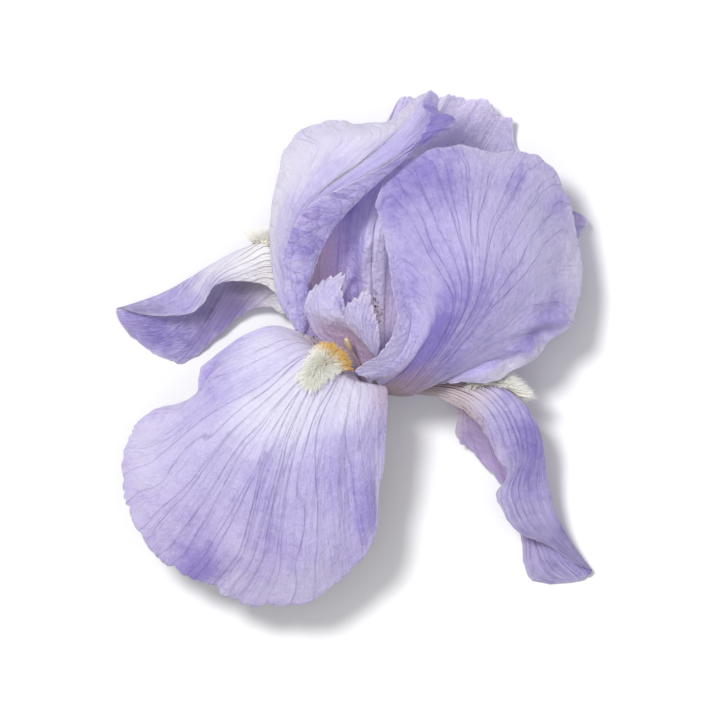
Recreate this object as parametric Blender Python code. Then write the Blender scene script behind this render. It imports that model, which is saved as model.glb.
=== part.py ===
"""A cut bearded iris bloom, lying on its back on a level surface.

Every petal is a thin sheet drawn through a few cross rows of guide points, from its claw
at the floral tube out to its margin. Guide points are in millimetres, with +Z up, and the
scene is in metres. Places near the heart of the bloom are given round the flower's own
axis, by azimuth, radius and height.
"""

import math
import random

import bmesh
import bpy
from mathutils import Matrix, Vector

MM = 0.001
CENTRE_ON_TABLE = Vector((0.0, -0.4, 0.0))

PETAL_THICKNESS = 0.6
SEAT_GAP = 0.3
PRESSED = 0.02
CLAW_RADIUS = 5.0
CLAW_HALF_WIDTH = 1.9

HEART = Vector((4.2, -9.1, 28.0))
AXIS_TURN = math.radians(70)
AXIS_RISE = math.radians(20)
AXIS = Vector((
    math.cos(AXIS_RISE) * math.cos(AXIS_TURN),
    math.cos(AXIS_RISE) * math.sin(AXIS_TURN),
    math.sin(AXIS_RISE),
))
RIGHT = Vector((math.sin(AXIS_TURN), -math.cos(AXIS_TURN), 0.0))
FRONT = RIGHT.cross(AXIS)

TUBE_LENGTH = 44.0
TUBE_RADII = (5.8, 5.2, 3.4, 3.0, 4.6, 5.2, 4.4, 3.6)
TUBE_SIDES = 18

STAMEN_RADIUS = 0.5
ANTHER_RADIUS = 0.9
STAMEN_SIDES = 6

BEARD_HALF_WIDTHS = (3.0, 1.6)
BEARD_GAP = 0.5
BEARD_CORE_THICKNESS = 0.9
HAIR_RADIUS = 0.28
HAIR_SIDES = 3
HAIR_LENGTHS = (2.2, 3.8)
HAIR_ROOT = 0.2
HAIRS_PER_BEARD = 60

ARM_TURNS = {"front": 0.0, "left": -76.0, "right": 142.0}
ARM_SIZES = {"front": 1.0, "left": 0.75, "right": 1.0}

LAVENDER = (0.56, 0.50, 0.82)
PALE_LAVENDER = (0.66, 0.62, 0.88)
BEARD_CREAM = (0.85, 0.78, 0.48)
STAMEN_CREAM = (0.80, 0.74, 0.55)
TUBE_GREEN = (0.34, 0.42, 0.16)


def around(azimuth, radius, height, side=0.0):
    """A point round the flower's axis, azimuth 0 being nearest to the sky."""
    turn = math.radians(azimuth)
    outward = math.cos(turn) * FRONT + math.sin(turn) * RIGHT
    across = math.cos(turn) * RIGHT - math.sin(turn) * FRONT
    return HEART + radius * outward + height * AXIS + side * across


def claw(azimuth, half_width=CLAW_HALF_WIDTH):
    """The foot of a petal, just clear of the floral tube's rim."""
    return [around(azimuth, CLAW_RADIUS, SEAT_GAP, side) for side in (-half_width, 0.0, half_width)]


FALL_FRONT = [
    claw(-30),
    [(-7.0, 0.5, 40.0), (-1.8, -4.5, 40.5), (3.8, -10.8, 37.5)],
    [(-13.0, 4.0, 45.0), (-9.0, 0.0, 47.0), (-5.0, -2.8, 48.5), (-0.5, -7.6, 46.0), (5.0, -10.2, 42.5)],
    [(-21.0, 6.2, 47.0), (-16.8, 2.2, 51.5), (-12.8, -2.0, 53.0), (-9.6, -4.8, 54.0),
     (-5.0, -7.8, 52.2), (1.0, -9.2, 49.5), (8.3, -9.8, 45.5)],
    [(-28.0, 4.0, 47.5), (-26.5, -3.0, 53.0), (-23.5, -10.5, 55.5), (-17.8, -16.5, 56.0),
     (-10.8, -20.0, 55.0), (-1.5, -19.5, 52.5), (8.6, -15.5, 46.5)],
    [(-33.5, 0.5, 47.0), (-36.5, -9.0, 51.5), (-34.5, -21.0, 53.5), (-24.3, -30.5, 54.5),
     (-15.2, -34.0, 53.5), (-2.4, -31.5, 50.5), (8.2, -22.5, 45.0)],
    [(-37.0, -2.2, 46.0), (-40.0, -11.5, 46.0), (-48.0, -18.8, 46.5), (-51.0, -28.0, 44.5), (-47.5, -38.0, 43.0),
     (-41.0, -46.0, 42.0), (-31.5, -50.5, 43.0), (-25.5, -54.0, 44.0), (-18.5, -55.0, 45.0),
     (-10.0, -53.0, 44.8), (-1.5, -47.5, 44.2), (4.5, -39.5, 43.5), (7.6, -30.5, 43.5)],
    [(-40.0, -4.6, 44.5), (-42.6, -12.6, 43.5), (-53.0, -16.4, 42.5), (-59.6, -23.6, 40.0),
     (-61.0, -33.0, 37.5), (-58.0, -44.0, 34.0), (-52.5, -53.0, 31.0), (-45.5, -58.5, 29.5),
     (-38.5, -59.6, 29.5), (-35.0, -63.8, 30.0), (-29.0, -67.0, 30.5), (-20.0, -67.2, 31.5),
     (-10.5, -64.8, 33.5), (-2.5, -60.0, 35.5), (2.9, -53.7, 37.8), (6.1, -45.5, 39.8), (6.0, -37.0, 41.0)],
]

FALL_LEFT = [
    claw(-150)[::-1],
    [(-3.0, -2.5, 25.5), (-4.5, 0.5, 25.0), (-5.0, 2.5, 23.0), (-4.0, 2.0, 20.5), (-2.5, 0.5, 18.5)],
    [(-11.0, 5.5, 26.0), (-12.5, 9.5, 26.5), (-12.8, 13.0, 24.0), (-11.3, 11.5, 20.0), (-9.3, 8.0, 16.5)],
    [(-19.7, 14.2, 25.5), (-20.8, 21.0, 27.0), (-21.2, 27.0, 24.5), (-19.0, 21.0, 16.0), (-18.0, 9.5, 11.0)],
    [(-27.0, 17.5, 25.0), (-27.8, 22.8, 26.0), (-28.5, 26.3, 22.5), (-26.5, 19.0, 13.0), (-26.5, 10.2, 7.5)],
    [(-35.5, 17.0, 21.5), (-35.8, 20.5, 21.5), (-36.0, 22.4, 18.0), (-34.5, 13.5, 8.5), (-34.5, 4.5, 4.0)],
    [(-40.0, 11.0, 18.5), (-41.8, 15.5, 17.5), (-43.2, 18.0, 14.0), (-41.5, 8.0, 5.0), (-42.5, -3.2, 0.9)],
    [(-46.0, 8.7, 15.0), (-47.5, 12.5, 14.0), (-49.0, 14.8, 11.0), (-48.0, 6.5, 3.2), (-48.5, -2.8, 0.5)],
    [(-54.5, 9.3, 10.5), (-55.0, 11.2, 10.0), (-55.5, 12.3, 8.0), (-54.5, 6.5, 3.0), (-54.0, 0.2, 0.6)],
    [(-59.3, 10.4, 7.6), (-60.8, 11.0, 6.6), (-61.9, 10.3, 5.0), (-60.9, 7.3, 3.2), (-58.0, 3.4, 1.2)],
]

FALL_RIGHT = [
    claw(90),
    [(12.5, -11.8, 30.0), (13.0, -10.6, 31.0), (13.5, -9.5, 30.5), (13.5, -9.0, 28.5), (13.0, -9.3, 26.0)],
    [(20.0, -11.9, 29.5), (21.5, -10.2, 31.0), (22.5, -8.4, 30.5), (22.0, -8.4, 26.0), (21.0, -10.5, 21.5)],
    [(27.0, -14.8, 30.0), (29.0, -11.5, 32.0), (30.5, -8.3, 31.5), (29.0, -9.5, 24.0), (26.5, -16.0, 14.0)],
    [(32.5, -20.0, 29.5), (35.5, -14.5, 32.0), (37.8, -9.3, 31.0), (34.0, -14.0, 19.0), (26.6, -23.5, 7.0)],
    [(36.5, -26.8, 26.0), (41.0, -20.0, 29.5), (44.5, -14.5, 29.0), (39.0, -21.0, 14.0), (31.5, -28.0, 4.5)],
    [(39.6, -32.5, 22.5), (44.5, -27.0, 25.5), (48.5, -22.5, 25.5), (43.0, -28.5, 11.0), (37.5, -34.3, 3.5)],
    [(36.8, -38.5, 20.5), (43.5, -35.5, 21.5), (50.0, -32.5, 20.0), (45.0, -36.5, 8.0), (41.0, -41.5, 2.5)],
    [(41.5, -46.3, 15.0), (47.5, -44.0, 16.0), (52.3, -42.0, 15.0), (48.0, -46.0, 5.0), (43.6, -50.0, 1.0)],
    [(50.5, -51.3, 9.0), (54.0, -50.6, 10.0), (56.3, -50.2, 9.0), (52.0, -54.0, 3.0), (45.0, -59.3, 0.6)],
    [(58.3, -56.2, 6.0), (60.3, -56.6, 5.0), (61.9, -57.6, 3.0), (58.5, -59.9, 1.2), (50.5, -61.0, 0.3)],
]

STANDARD_LEFT = [
    claw(-90),
    [(-11.0, 1.0, 28.8), (-12.1, 2.5, 30.3), (-12.8, 3.2, 32.2), (-12.2, 2.6, 33.9), (-10.6, 1.0, 35.2)],
    [(-16.5, 7.5, 31.0), (-18.0, 20.0, 34.5), (-17.5, 28.5, 39.0), (-15.5, 32.0, 42.0), (-14.0, 33.5, 43.5),
     (-13.5, 32.0, 43.5), (-13.6, 28.0, 42.5), (-14.2, 17.0, 38.8), (-12.2, 6.0, 35.6), (-9.4, 3.8, 34.6)],
    [(-18.5, 10.5, 31.0), (-19.5, 32.0, 36.0), (-12.0, 43.5, 43.0), (0.0, 48.0, 48.0), (10.5, 55.5, 50.0),
     (11.0, 51.0, 50.0), (2.0, 43.5, 49.0), (-11.3, 30.5, 45.0), (-12.4, 12.0, 38.0), (-11.4, 7.0, 35.8)],
    [(-19.5, 12.5, 30.5), (-20.8, 27.0, 31.5), (-18.6, 40.5, 33.0), (-12.5, 49.5, 37.0), (-5.0, 54.0, 41.0),
     (3.0, 55.0, 44.5), (9.0, 56.5, 47.0), (13.5, 60.0, 48.5), (17.2, 64.2, 47.5), (21.4, 65.0, 47.0),
     (22.0, 61.6, 47.6), (25.6, 58.6, 48.0), (16.5, 52.6, 50.5), (10.3, 46.6, 52.0), (1.8, 39.8, 51.0), (-6.3, 31.3, 47.0),
     (-11.5, 20.0, 42.2), (-12.6, 11.0, 39.6), (-13.4, 4.0, 37.8)],
    [(-20.0, 14.0, 29.8), (-22.0, 29.0, 28.0), (-20.6, 44.0, 27.0), (-16.5, 55.0, 29.0), (-7.0, 59.8, 32.0),
     (2.0, 59.5, 36.0), (9.5, 59.6, 40.0), (15.0, 65.0, 43.0), (19.8, 67.9, 46.0), (17.8, 64.8, 51.5),
     (18.8, 60.0, 52.3), (14.6, 52.9, 53.8), (7.5, 47.5, 55.5), (-2.3, 42.9, 55.0), (-14.0, 36.9, 50.5),
     (-18.3, 25.0, 45.0), (-18.2, 12.5, 41.4), (-14.8, 3.4, 38.8)],
]

STANDARD_RIGHT = [
    claw(30),
    [(6.5, -9.3, 39.0), (11.0, -7.6, 44.5), (16.0, -8.0, 46.0), (18.0, -9.8, 42.5), (14.0, -11.9, 36.0)],
    [(5.6, -8.0, 44.0), (12.5, -5.2, 49.0), (19.0, 3.0, 55.0), (23.5, 9.5, 59.0), (28.5, 12.5, 60.5),
     (33.5, 11.0, 58.0), (35.5, 5.0, 52.5), (30.5, -3.0, 45.5), (18.0, -10.4, 37.0)],
    [(5.0, -7.6, 47.0), (12.5, -3.6, 51.0), (19.0, 11.5, 57.0), (18.0, 27.5, 57.5), (26.5, 33.0, 58.5),
     (38.5, 31.0, 54.5), (46.5, 18.5, 48.5), (40.5, 1.0, 43.5), (21.3, -9.0, 38.0)],
    [(4.4, -7.4, 49.0), (6.0, -5.4, 51.0), (11.5, -1.4, 52.6), (15.0, 6.5, 54.6), (13.6, 17.0, 55.4),
     (12.0, 28.0, 54.8), (10.5, 38.5, 50.8), (15.5, 45.5, 49.0), (25.5, 48.0, 48.0), (34.5, 47.0, 45.5),
     (43.5, 45.0, 41.5), (50.5, 36.5, 37.0), (54.5, 25.0, 35.0), (53.2, 12.5, 36.0), (46.5, 2.0, 38.5),
     (35.5, -5.5, 41.5), (23.6, -8.6, 38.8)],
    [(3.6, -7.2, 51.4), (-0.2, -5.6, 53.2), (5.8, -0.9, 55.6), (10.5, 7.0, 57.8), (9.7, 18.2, 57.6),
     (7.5, 29.0, 53.5), (5.6, 40.5, 47.5), (12.5, 49.5, 44.5), (25.0, 53.0, 42.5), (36.0, 52.2, 39.0),
     (46.5, 51.7, 33.0), (55.5, 41.0, 28.5), (59.4, 27.0, 26.5), (58.5, 12.5, 28.5), (48.7, -1.0, 34.0),
     (37.0, -8.1, 38.2), (26.0, -8.4, 39.2)],
]

STANDARD_BACK = [
    claw(150)[::-1],
    [(1.0, 0.0, 17.5), (4.5, 0.0, 15.5), (9.5, -1.0, 15.5), (14.5, -2.5, 16.5), (18.0, -4.0, 19.0)],
    [(-12.0, 14.0, 27.5), (-8.0, 15.0, 21.5), (-2.0, 15.0, 16.0), (5.0, 15.0, 18.0), (13.0, 14.0, 11.5),
     (24.0, 12.0, 8.0), (32.0, 9.0, 7.5), (37.5, 6.0, 11.0), (41.0, 3.0, 15.0)],
    [(-14.0, 23.0, 32.0), (-8.5, 27.0, 29.5), (-2.0, 30.0, 25.0), (6.0, 31.5, 29.0), (16.0, 34.0, 15.0),
     (28.0, 33.0, 4.0), (40.0, 27.0, 4.0), (47.0, 22.0, 8.0), (49.0, 15.5, 13.5)],
    [(-13.5, 32.0, 34.0), (-9.0, 38.0, 32.0), (-2.0, 43.0, 27.5), (8.0, 46.5, 27.0), (19.0, 50.0, 11.5),
     (29.0, 50.0, 1.0), (38.0, 47.0, -0.5), (47.5, 40.0, 1.5), (54.5, 32.0, 6.5), (53.5, 21.5, 13.0)],
    [(-13.0, 35.0, 34.5), (-10.0, 41.0, 34.5), (-4.0, 47.5, 33.0), (3.0, 53.0, 30.0), (9.3, 59.0, 26.0),
     (12.5, 66.4, 22.0), (18.0, 64.6, 18.5), (24.5, 66.6, 16.5), (30.0, 65.8, 12.5), (35.6, 65.0, 11.0),
     (38.0, 61.0, 7.0), (41.2, 60.2, 7.5), (42.2, 53.0, 3.0), (50.0, 45.5, 2.5), (55.0, 37.4, 5.5),
     (60.8, 34.0, 7.5), (58.6, 28.5, 11.0), (56.0, 17.0, 18.0)],
]

STYLE_ARM = [
    [around(-30, 2.2, SEAT_GAP, side) for side in (-1.3, 0.0, 1.3)],
    [(-3.6, -1.2, 35.6), (-1.4, -0.4, 37.8), (1.5, -1.0, 38.8), (4.4, -2.8, 38.8), (6.4, -5.2, 37.4)],
    [(-9.6, 3.8, 41.0), (-6.0, 5.0, 44.2), (-1.5, 4.8, 46.2), (3.0, 1.8, 46.2), (6.3, -2.6, 43.8)],
    [(-12.4, 9.2, 47.0), (-10.0, 9.0, 49.0), (-6.5, 8.5, 51.0), (-3.0, 8.0, 52.0), (-1.0, 6.2, 51.5),
     (1.5, 3.5, 50.5), (3.8, 0.8, 49.5), (5.0, -0.6, 48.5), (5.9, -1.6, 47.5)],
    [(-13.0, 10.8, 48.0), (-11.0, 12.5, 51.0), (-7.5, 13.5, 53.5), (-4.0, 12.0, 54.5), (-2.4, 10.0, 54.0),
     (0.5, 9.0, 55.0), (3.0, 7.5, 55.0), (5.2, 4.0, 53.0), (6.4, 0.0, 49.3)],
    [(-12.6, 12.5, 49.0), (-11.5, 15.5, 51.0), (-8.8, 18.0, 53.0), (-6.0, 19.6, 54.5), (-2.0, 20.6, 55.5),
     (-2.9, 17.5, 56.0), (-2.7, 14.0, 55.5), (-2.4, 11.8, 55.0), (-2.2, 11.0, 55.0), (-1.6, 12.6, 56.0),
     (1.0, 14.4, 57.0), (3.9, 16.9, 57.5), (4.7, 13.0, 56.5), (5.8, 9.5, 55.0), (6.5, 6.6, 54.0),
     (6.7, 3.8, 52.7), (6.9, 1.6, 51.3)],
]

STAMEN_PATH = [
    around(-30, 4.0, 1.6 * SEAT_GAP),
    around(-30, 6.5, 4.5),
    around(-30, 11.5, 9.0),
    around(-30, 15.5, 12.0),
]
ANTHER_TIP = around(-30, 20.0, 16.0)


def spline(points, t):
    """The point at t, 0 to 1, on a smooth curve through evenly spaced points."""
    last = len(points) - 1
    index = min(int(t * last), last - 1)
    f = t * last - index
    p1 = points[index]
    p2 = points[index + 1]
    p0 = points[index - 1] if index > 0 else 2 * p1 - p2
    p3 = points[index + 2] if index + 2 <= last else 2 * p2 - p1
    square = 2 * p0 - 5 * p1 + 4 * p2 - p3
    cube = 3 * p1 - p0 - 3 * p2 + p3
    return 0.5 * (2 * p1 + (p2 - p0) * f + square * f * f + cube * f * f * f)


def sheet_point(rows, u, v):
    """The point of a sheet at u across it and v along it."""
    return spline([spline([Vector(p) for p in row], u) for row in rows], v)


def sheet_normal(rows, u, v):
    """The direction square to a sheet at u, v."""
    step = 0.01
    u0, u1 = max(u - step, 0.0), min(u + step, 1.0)
    v0, v1 = max(v - step, 0.0), min(v + step, 1.0)
    across = sheet_point(rows, u1, v) - sheet_point(rows, u0, v)
    along = sheet_point(rows, u, v1) - sheet_point(rows, u, v0)
    return across.cross(along).normalized()


def smooth_step(low, high, x):
    """A soft ramp from 0 at low to 1 at high."""
    t = min(max((x - low) / (high - low), 0.0), 1.0)
    return t * t * (3 - 2 * t)


def fan_ripple(depth, waves, phase):
    """The waves of a broad petal, growing towards its outer margin."""
    def height(u, v):
        swell = smooth_step(0.55, 1.0, v) * smooth_step(0.0, 0.15, u) * smooth_step(0.0, 0.15, 1 - u)
        return depth * swell * math.sin(math.tau * (waves * u + phase))
    return height


def edge_ripple(depth, waves, phase):
    """The waves of a narrow petal, growing towards both long margins."""
    def height(u, v):
        swell = smooth_step(0.45, 1.0, abs(2 * u - 1)) * smooth_step(0.1, 0.4, v)
        return depth * swell * math.sin(math.tau * (waves * v + phase + 0.3 * u))
    return height


def flat(u, v):
    """No ripple at all."""
    return 0.0


def clear_scene():
    """Removes every object of the scene."""
    for obj in list(bpy.data.objects):
        bpy.data.objects.remove(obj, do_unlink=True)


def finish_material(name, colour, roughness):
    """A plain material of one colour."""
    material = bpy.data.materials.new(name)
    material.use_nodes = True
    shader = material.node_tree.nodes["Principled BSDF"]
    shader.inputs["Base Color"].default_value = (*colour, 1.0)
    shader.inputs["Roughness"].default_value = roughness
    shader.inputs["Metallic"].default_value = 0.0
    return material


def add_object(name, bm, material):
    """Closes a bmesh in millimetres into a named object at its place on the table."""
    bmesh.ops.translate(bm, verts=bm.verts, vec=CENTRE_ON_TABLE)
    bmesh.ops.scale(bm, verts=bm.verts, vec=(MM, MM, MM))
    mesh = bpy.data.meshes.new(name)
    bm.to_mesh(mesh)
    bm.free()
    mesh.materials.append(material)
    mesh.shade_smooth()
    obj = bpy.data.objects.new(name, mesh)
    bpy.context.collection.objects.link(obj)
    return obj


def sheet_bmesh(rows, columns, lengths, ripple, crowd=1.0, lift=0.0, reach=(0.0, 1.0), strip=None):
    """An open sheet: a grid laid on the guide rows and cut into triangles.

    A crowd above 1 sets its cross rows closer together towards the outer margin.

    A strip keeps to a band about one line of the petal: its middle, and its half width
    at either end.
    """
    v_low, v_high = reach
    bm = bmesh.new()
    bmesh.ops.create_grid(bm, x_segments=columns, y_segments=lengths, size=0.5)
    for vert in bm.verts:
        along = 1 - (0.5 - vert.co.y) ** crowd
        u = vert.co.x + 0.5
        v = v_low + along * (v_high - v_low)
        if strip is not None:
            middle, first, final = strip
            u = middle + 2 * vert.co.x * (first + (final - first) * along)
        height = lift + ripple(u, v)
        place = sheet_point(rows, u, v)
        if height != 0.0:
            place = place + height * sheet_normal(rows, u, v)
        vert.co = place
    bmesh.ops.triangulate(bm, faces=bm.faces, quad_method="FIXED")
    return bm


def thicken(obj, thickness):
    """Gives a sheet its thickness, half to each side, and flattens what presses on the table."""
    for vert in obj.data.vertices:
        vert.co.z = max(vert.co.z, (thickness / 2 - PRESSED) * MM)
    wall = obj.modifiers.new("thickness", "SOLIDIFY")
    wall.thickness = thickness * MM
    wall.offset = 0.0
    wall.use_even_offset = False
    obj.data = applied(obj)
    for vert in obj.data.vertices:
        vert.co.z = max(vert.co.z, 0.0)
    bm = bmesh.new()
    bm.from_mesh(obj.data)
    bmesh.ops.recalc_face_normals(bm, faces=bm.faces)
    if bm.calc_volume(signed=True) < 0:
        bmesh.ops.reverse_faces(bm, faces=bm.faces)
    bm.to_mesh(obj.data)
    bm.free()


def applied(obj):
    """The mesh of an object with its modifiers applied, which are then removed."""
    bpy.context.view_layer.update()
    evaluated = obj.evaluated_get(bpy.context.evaluated_depsgraph_get())
    mesh = bpy.data.meshes.new_from_object(evaluated)
    mesh.name = obj.name
    obj.modifiers.clear()
    return mesh


def add_sheet(name, rows, columns, lengths, ripple, material, crowd=1.0):
    """A petal or style arm as a named object."""
    obj = add_object(name, sheet_bmesh(rows, columns, lengths, ripple, crowd), material)
    thicken(obj, PETAL_THICKNESS)
    return obj


def turned(points, side):
    """Guide points of the front arm, turned round the flower's axis for a side and sized for it."""
    spin = Matrix.Rotation(math.radians(ARM_TURNS[side]), 3, AXIS)
    return [HEART + ARM_SIZES[side] * (spin @ (Vector(p) - HEART)) for p in points]


def tube_bmesh(path, radii, sides):
    """A round closed tube through a path, with a radius at each point."""
    bm = bmesh.new()
    rings = []
    for index, (centre, radius) in enumerate(zip(path, radii)):
        ahead = path[min(index + 1, len(path) - 1)] - path[max(index - 1, 0)]
        turn = ahead.to_track_quat("Z", "Y").to_matrix().to_4x4()
        place = Matrix.Translation(centre) @ turn
        made = bmesh.ops.create_circle(bm, segments=sides, radius=radius, matrix=place)
        rings.append(made["verts"])
    for lower, upper in zip(rings, rings[1:]):
        edges = {e for ring in (lower, upper) for v in ring for e in v.link_edges if e.other_vert(v) in ring}
        bmesh.ops.bridge_loops(bm, edges=list(edges))
    for ring in (rings[0], rings[-1]):
        bmesh.ops.contextual_create(bm, geom=ring)
    bmesh.ops.triangulate(bm, faces=bm.faces)
    bmesh.ops.recalc_face_normals(bm, faces=bm.faces)
    return bm


def add_floral_tube(material):
    """The floral tube and ovary, cut off just below, with a flat rim that carries the petals."""
    last = len(TUBE_RADII) - 1
    path = [HEART - AXIS * (TUBE_LENGTH * index / last) for index in range(last + 1)]
    return add_object("floral_tube", tube_bmesh(path, TUBE_RADII, TUBE_SIDES), material)


def add_stamen(side, material):
    """A filament and its anther, in the gap between a style arm and its fall."""
    stem = turned(STAMEN_PATH, side)
    tip = turned([ANTHER_TIP], side)[0]
    body = [spline(stem, index / 6) for index in range(7)]
    radii = [STAMEN_RADIUS] * len(body)
    for part, radius in ((0.12, ANTHER_RADIUS), (0.5, ANTHER_RADIUS), (0.88, ANTHER_RADIUS), (1.0, 0.3)):
        body.append(stem[-1].lerp(tip, part))
        radii.append(radius)
    return add_object(f"stamen_{side}", tube_bmesh(body, radii, STAMEN_SIDES), material)


def hair_mesh(length):
    """A three-sided hair standing on the origin, pointing along Z."""
    bm = bmesh.new()
    bmesh.ops.create_cone(
        bm, cap_ends=True, segments=HAIR_SIDES, radius1=HAIR_RADIUS, radius2=0.0, depth=length,
        matrix=Matrix.Translation((0, 0, length / 2)),
    )
    bmesh.ops.scale(bm, verts=bm.verts, vec=(MM, MM, MM))
    mesh = bpy.data.meshes.new("hair")
    bm.to_mesh(mesh)
    bm.free()
    return mesh


def add_beard(side, rows, reach, facing, material, seed):
    """A furry strip on a fall's midrib: a slim core with hairs rooted in it, joined as one.

    Facing is 1 where it stands on the side that the sheet's normals point to, otherwise -1.
    """
    start, end = reach
    first = BEARD_HALF_WIDTHS[0] / petal_width(rows, start)
    final = BEARD_HALF_WIDTHS[1] / petal_width(rows, end)
    lift = PETAL_THICKNESS / 2 + BEARD_GAP + BEARD_CORE_THICKNESS / 2
    strip = (0.5, first, final)
    core = add_object(f"beard_{side}", sheet_bmesh(rows, 6, 8, flat, 1.0, lift * facing, reach, strip), material)
    thicken(core, BEARD_CORE_THICKNESS)

    draw = random.Random(seed)
    hairs = bpy.data.collections.new(f"hairs_{side}")
    bpy.context.scene.collection.children.link(hairs)
    for index in range(HAIRS_PER_BEARD):
        along = (index + 0.5) / HAIRS_PER_BEARD
        across = draw.uniform(-0.85, 0.85)
        v = start + (end - start) * (0.04 + 0.92 * along)
        u = 0.5 + across * (first + (final - first) * along)
        up = sheet_normal(rows, u, v) * facing
        forward = (sheet_point(rows, u, v + 0.02) - sheet_point(rows, u, v)).normalized()
        sideways = sheet_point(rows, u + 0.02, v) - sheet_point(rows, u, v)
        spread = across + draw.uniform(-0.3, 0.3)
        lean = up + forward * draw.uniform(0.1, 0.9) + sideways.normalized() * spread
        foot = sheet_point(rows, u, v) + up * (lift - HAIR_ROOT)
        hair = bpy.data.objects.new("hair", hair_mesh(draw.uniform(*HAIR_LENGTHS)))
        turn = lean.to_track_quat("Z", "Y").to_matrix().to_4x4()
        hair.matrix_world = Matrix.Translation((foot + CENTRE_ON_TABLE) * MM) @ turn
        hairs.objects.link(hair)
    join_with(core, hairs)
    return core


def petal_width(rows, v):
    """The width of a petal at v, as its middle tenth measures."""
    return 10 * (sheet_point(rows, 0.55, v) - sheet_point(rows, 0.45, v)).length


def join_with(body, collection):
    """One union of a body with everything in a collection, applied."""
    union = body.modifiers.new("join", "BOOLEAN")
    union.operation = "UNION"
    union.operand_type = "COLLECTION"
    union.collection = collection
    union.solver = "EXACT"
    body.data = applied(body)
    for obj in list(collection.objects):
        bpy.data.objects.remove(obj, do_unlink=True)
    bpy.data.collections.remove(collection)


def build():
    """Makes every piece of the bloom."""
    clear_scene()
    lavender = finish_material("petal_lavender", LAVENDER, 0.6)
    pale = finish_material("style_lavender", PALE_LAVENDER, 0.55)
    cream = finish_material("beard_cream", BEARD_CREAM, 0.7)
    anther = finish_material("stamen_cream", STAMEN_CREAM, 0.7)
    green = finish_material("tube_green", TUBE_GREEN, 0.5)

    add_floral_tube(green)
    add_sheet("fall_front", FALL_FRONT, 22, 13, fan_ripple(0.7, 5.0, 0.1), lavender)
    add_sheet("fall_left", FALL_LEFT, 12, 20, edge_ripple(0.4, 4.0, 0.2), lavender)
    add_sheet("fall_right", FALL_RIGHT, 12, 22, edge_ripple(0.4, 4.0, 0.6), lavender)
    add_sheet("standard_left", STANDARD_LEFT, 26, 14, fan_ripple(0.4, 6.0, 0.0), lavender, 1.4)
    add_sheet("standard_right", STANDARD_RIGHT, 26, 13, fan_ripple(0.5, 6.0, 0.3), lavender, 1.3)
    add_sheet("standard_back", STANDARD_BACK, 20, 11, fan_ripple(0.6, 5.0, 0.6), lavender)
    for side in ARM_TURNS:
        arm = [turned(row, side) for row in STYLE_ARM]
        add_sheet(f"style_arm_{side}", arm, 14, 9, flat, pale)
        add_stamen(side, anther)
    add_beard("front", FALL_FRONT, (0.29, 0.46), -1, cream, 11)
    add_beard("left", FALL_LEFT, (0.27, 0.41), 1, cream, 12)
    add_beard("right", FALL_RIGHT, (0.30, 0.47), -1, cream, 13)


build()
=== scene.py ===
"""The looks of a cut bearded iris bloom: fine petals, furry beards, veins and studio light.

Every petal is a thin sheet drawn through a net of guide points in millimetres, the same net
that its solid in the frame has. Here it gets its thin wall, its ruffles, its scalloped
margin and the veins that run from the claw to the margin.
"""

import logging
import math
from dataclasses import dataclass, field
from enum import Enum

import bmesh
import bpy
import numpy as np
from bpy.types import Material, NodeSocket, Object
from mathutils import Matrix, Vector


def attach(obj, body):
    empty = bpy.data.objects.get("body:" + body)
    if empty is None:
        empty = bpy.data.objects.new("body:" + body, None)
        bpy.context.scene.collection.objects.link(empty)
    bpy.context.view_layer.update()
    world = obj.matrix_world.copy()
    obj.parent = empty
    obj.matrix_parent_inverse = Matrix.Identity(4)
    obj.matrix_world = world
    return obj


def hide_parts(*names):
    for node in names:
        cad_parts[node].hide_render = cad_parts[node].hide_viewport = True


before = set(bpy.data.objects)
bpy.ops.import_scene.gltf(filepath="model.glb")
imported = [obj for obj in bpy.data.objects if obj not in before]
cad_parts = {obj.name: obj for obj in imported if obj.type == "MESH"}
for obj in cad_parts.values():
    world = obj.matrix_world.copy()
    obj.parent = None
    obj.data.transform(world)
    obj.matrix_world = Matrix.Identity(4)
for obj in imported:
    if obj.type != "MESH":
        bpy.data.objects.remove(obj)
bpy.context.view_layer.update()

MM = 0.001
TABLE_SHIFT = np.array((0.0, -0.4, 0.0))

HEART = np.array((4.2, -9.1, 28.0))
AXIS_TURN = math.radians(70)
AXIS_RISE = math.radians(20)
AXIS = np.array((
    math.cos(AXIS_RISE) * math.cos(AXIS_TURN),
    math.cos(AXIS_RISE) * math.sin(AXIS_TURN),
    math.sin(AXIS_RISE),
))
RIGHT = np.array((math.sin(AXIS_TURN), -math.cos(AXIS_TURN), 0.0))
FRONT = np.cross(RIGHT, AXIS)
SEAT_GAP = 0.3
CLAW_RADIUS = 5.0
CLAW_HALF_WIDTH = 1.9

Point = tuple[float, float, float]
Row = list[Point]
Colour = tuple[float, float, float, float]
Signal = NodeSocket | float | tuple[float, ...]
log = logging.getLogger("iris")


def around(azimuth: float, radius: float, height: float, side: float = 0.0) -> Point:
    """Gives a point round the flower's own axis.

    Args:
        azimuth: Degrees round the axis, 0 being nearest to the sky.
        radius: Distance from the axis, in millimetres.
        height: Distance along the axis from the heart, in millimetres.
        side: Distance along the tangent, in millimetres.

    Returns:
        The point, in millimetres.
    """
    turn = math.radians(azimuth)
    outward = math.cos(turn) * FRONT + math.sin(turn) * RIGHT
    across = math.cos(turn) * RIGHT - math.sin(turn) * FRONT
    return tuple(HEART + radius * outward + height * AXIS + side * across)


def claw(azimuth: float) -> Row:
    """The foot of a petal, just clear of the floral tube's rim."""
    sides = (-CLAW_HALF_WIDTH, 0.0, CLAW_HALF_WIDTH)
    return [around(azimuth, CLAW_RADIUS, SEAT_GAP, side) for side in sides]


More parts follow.
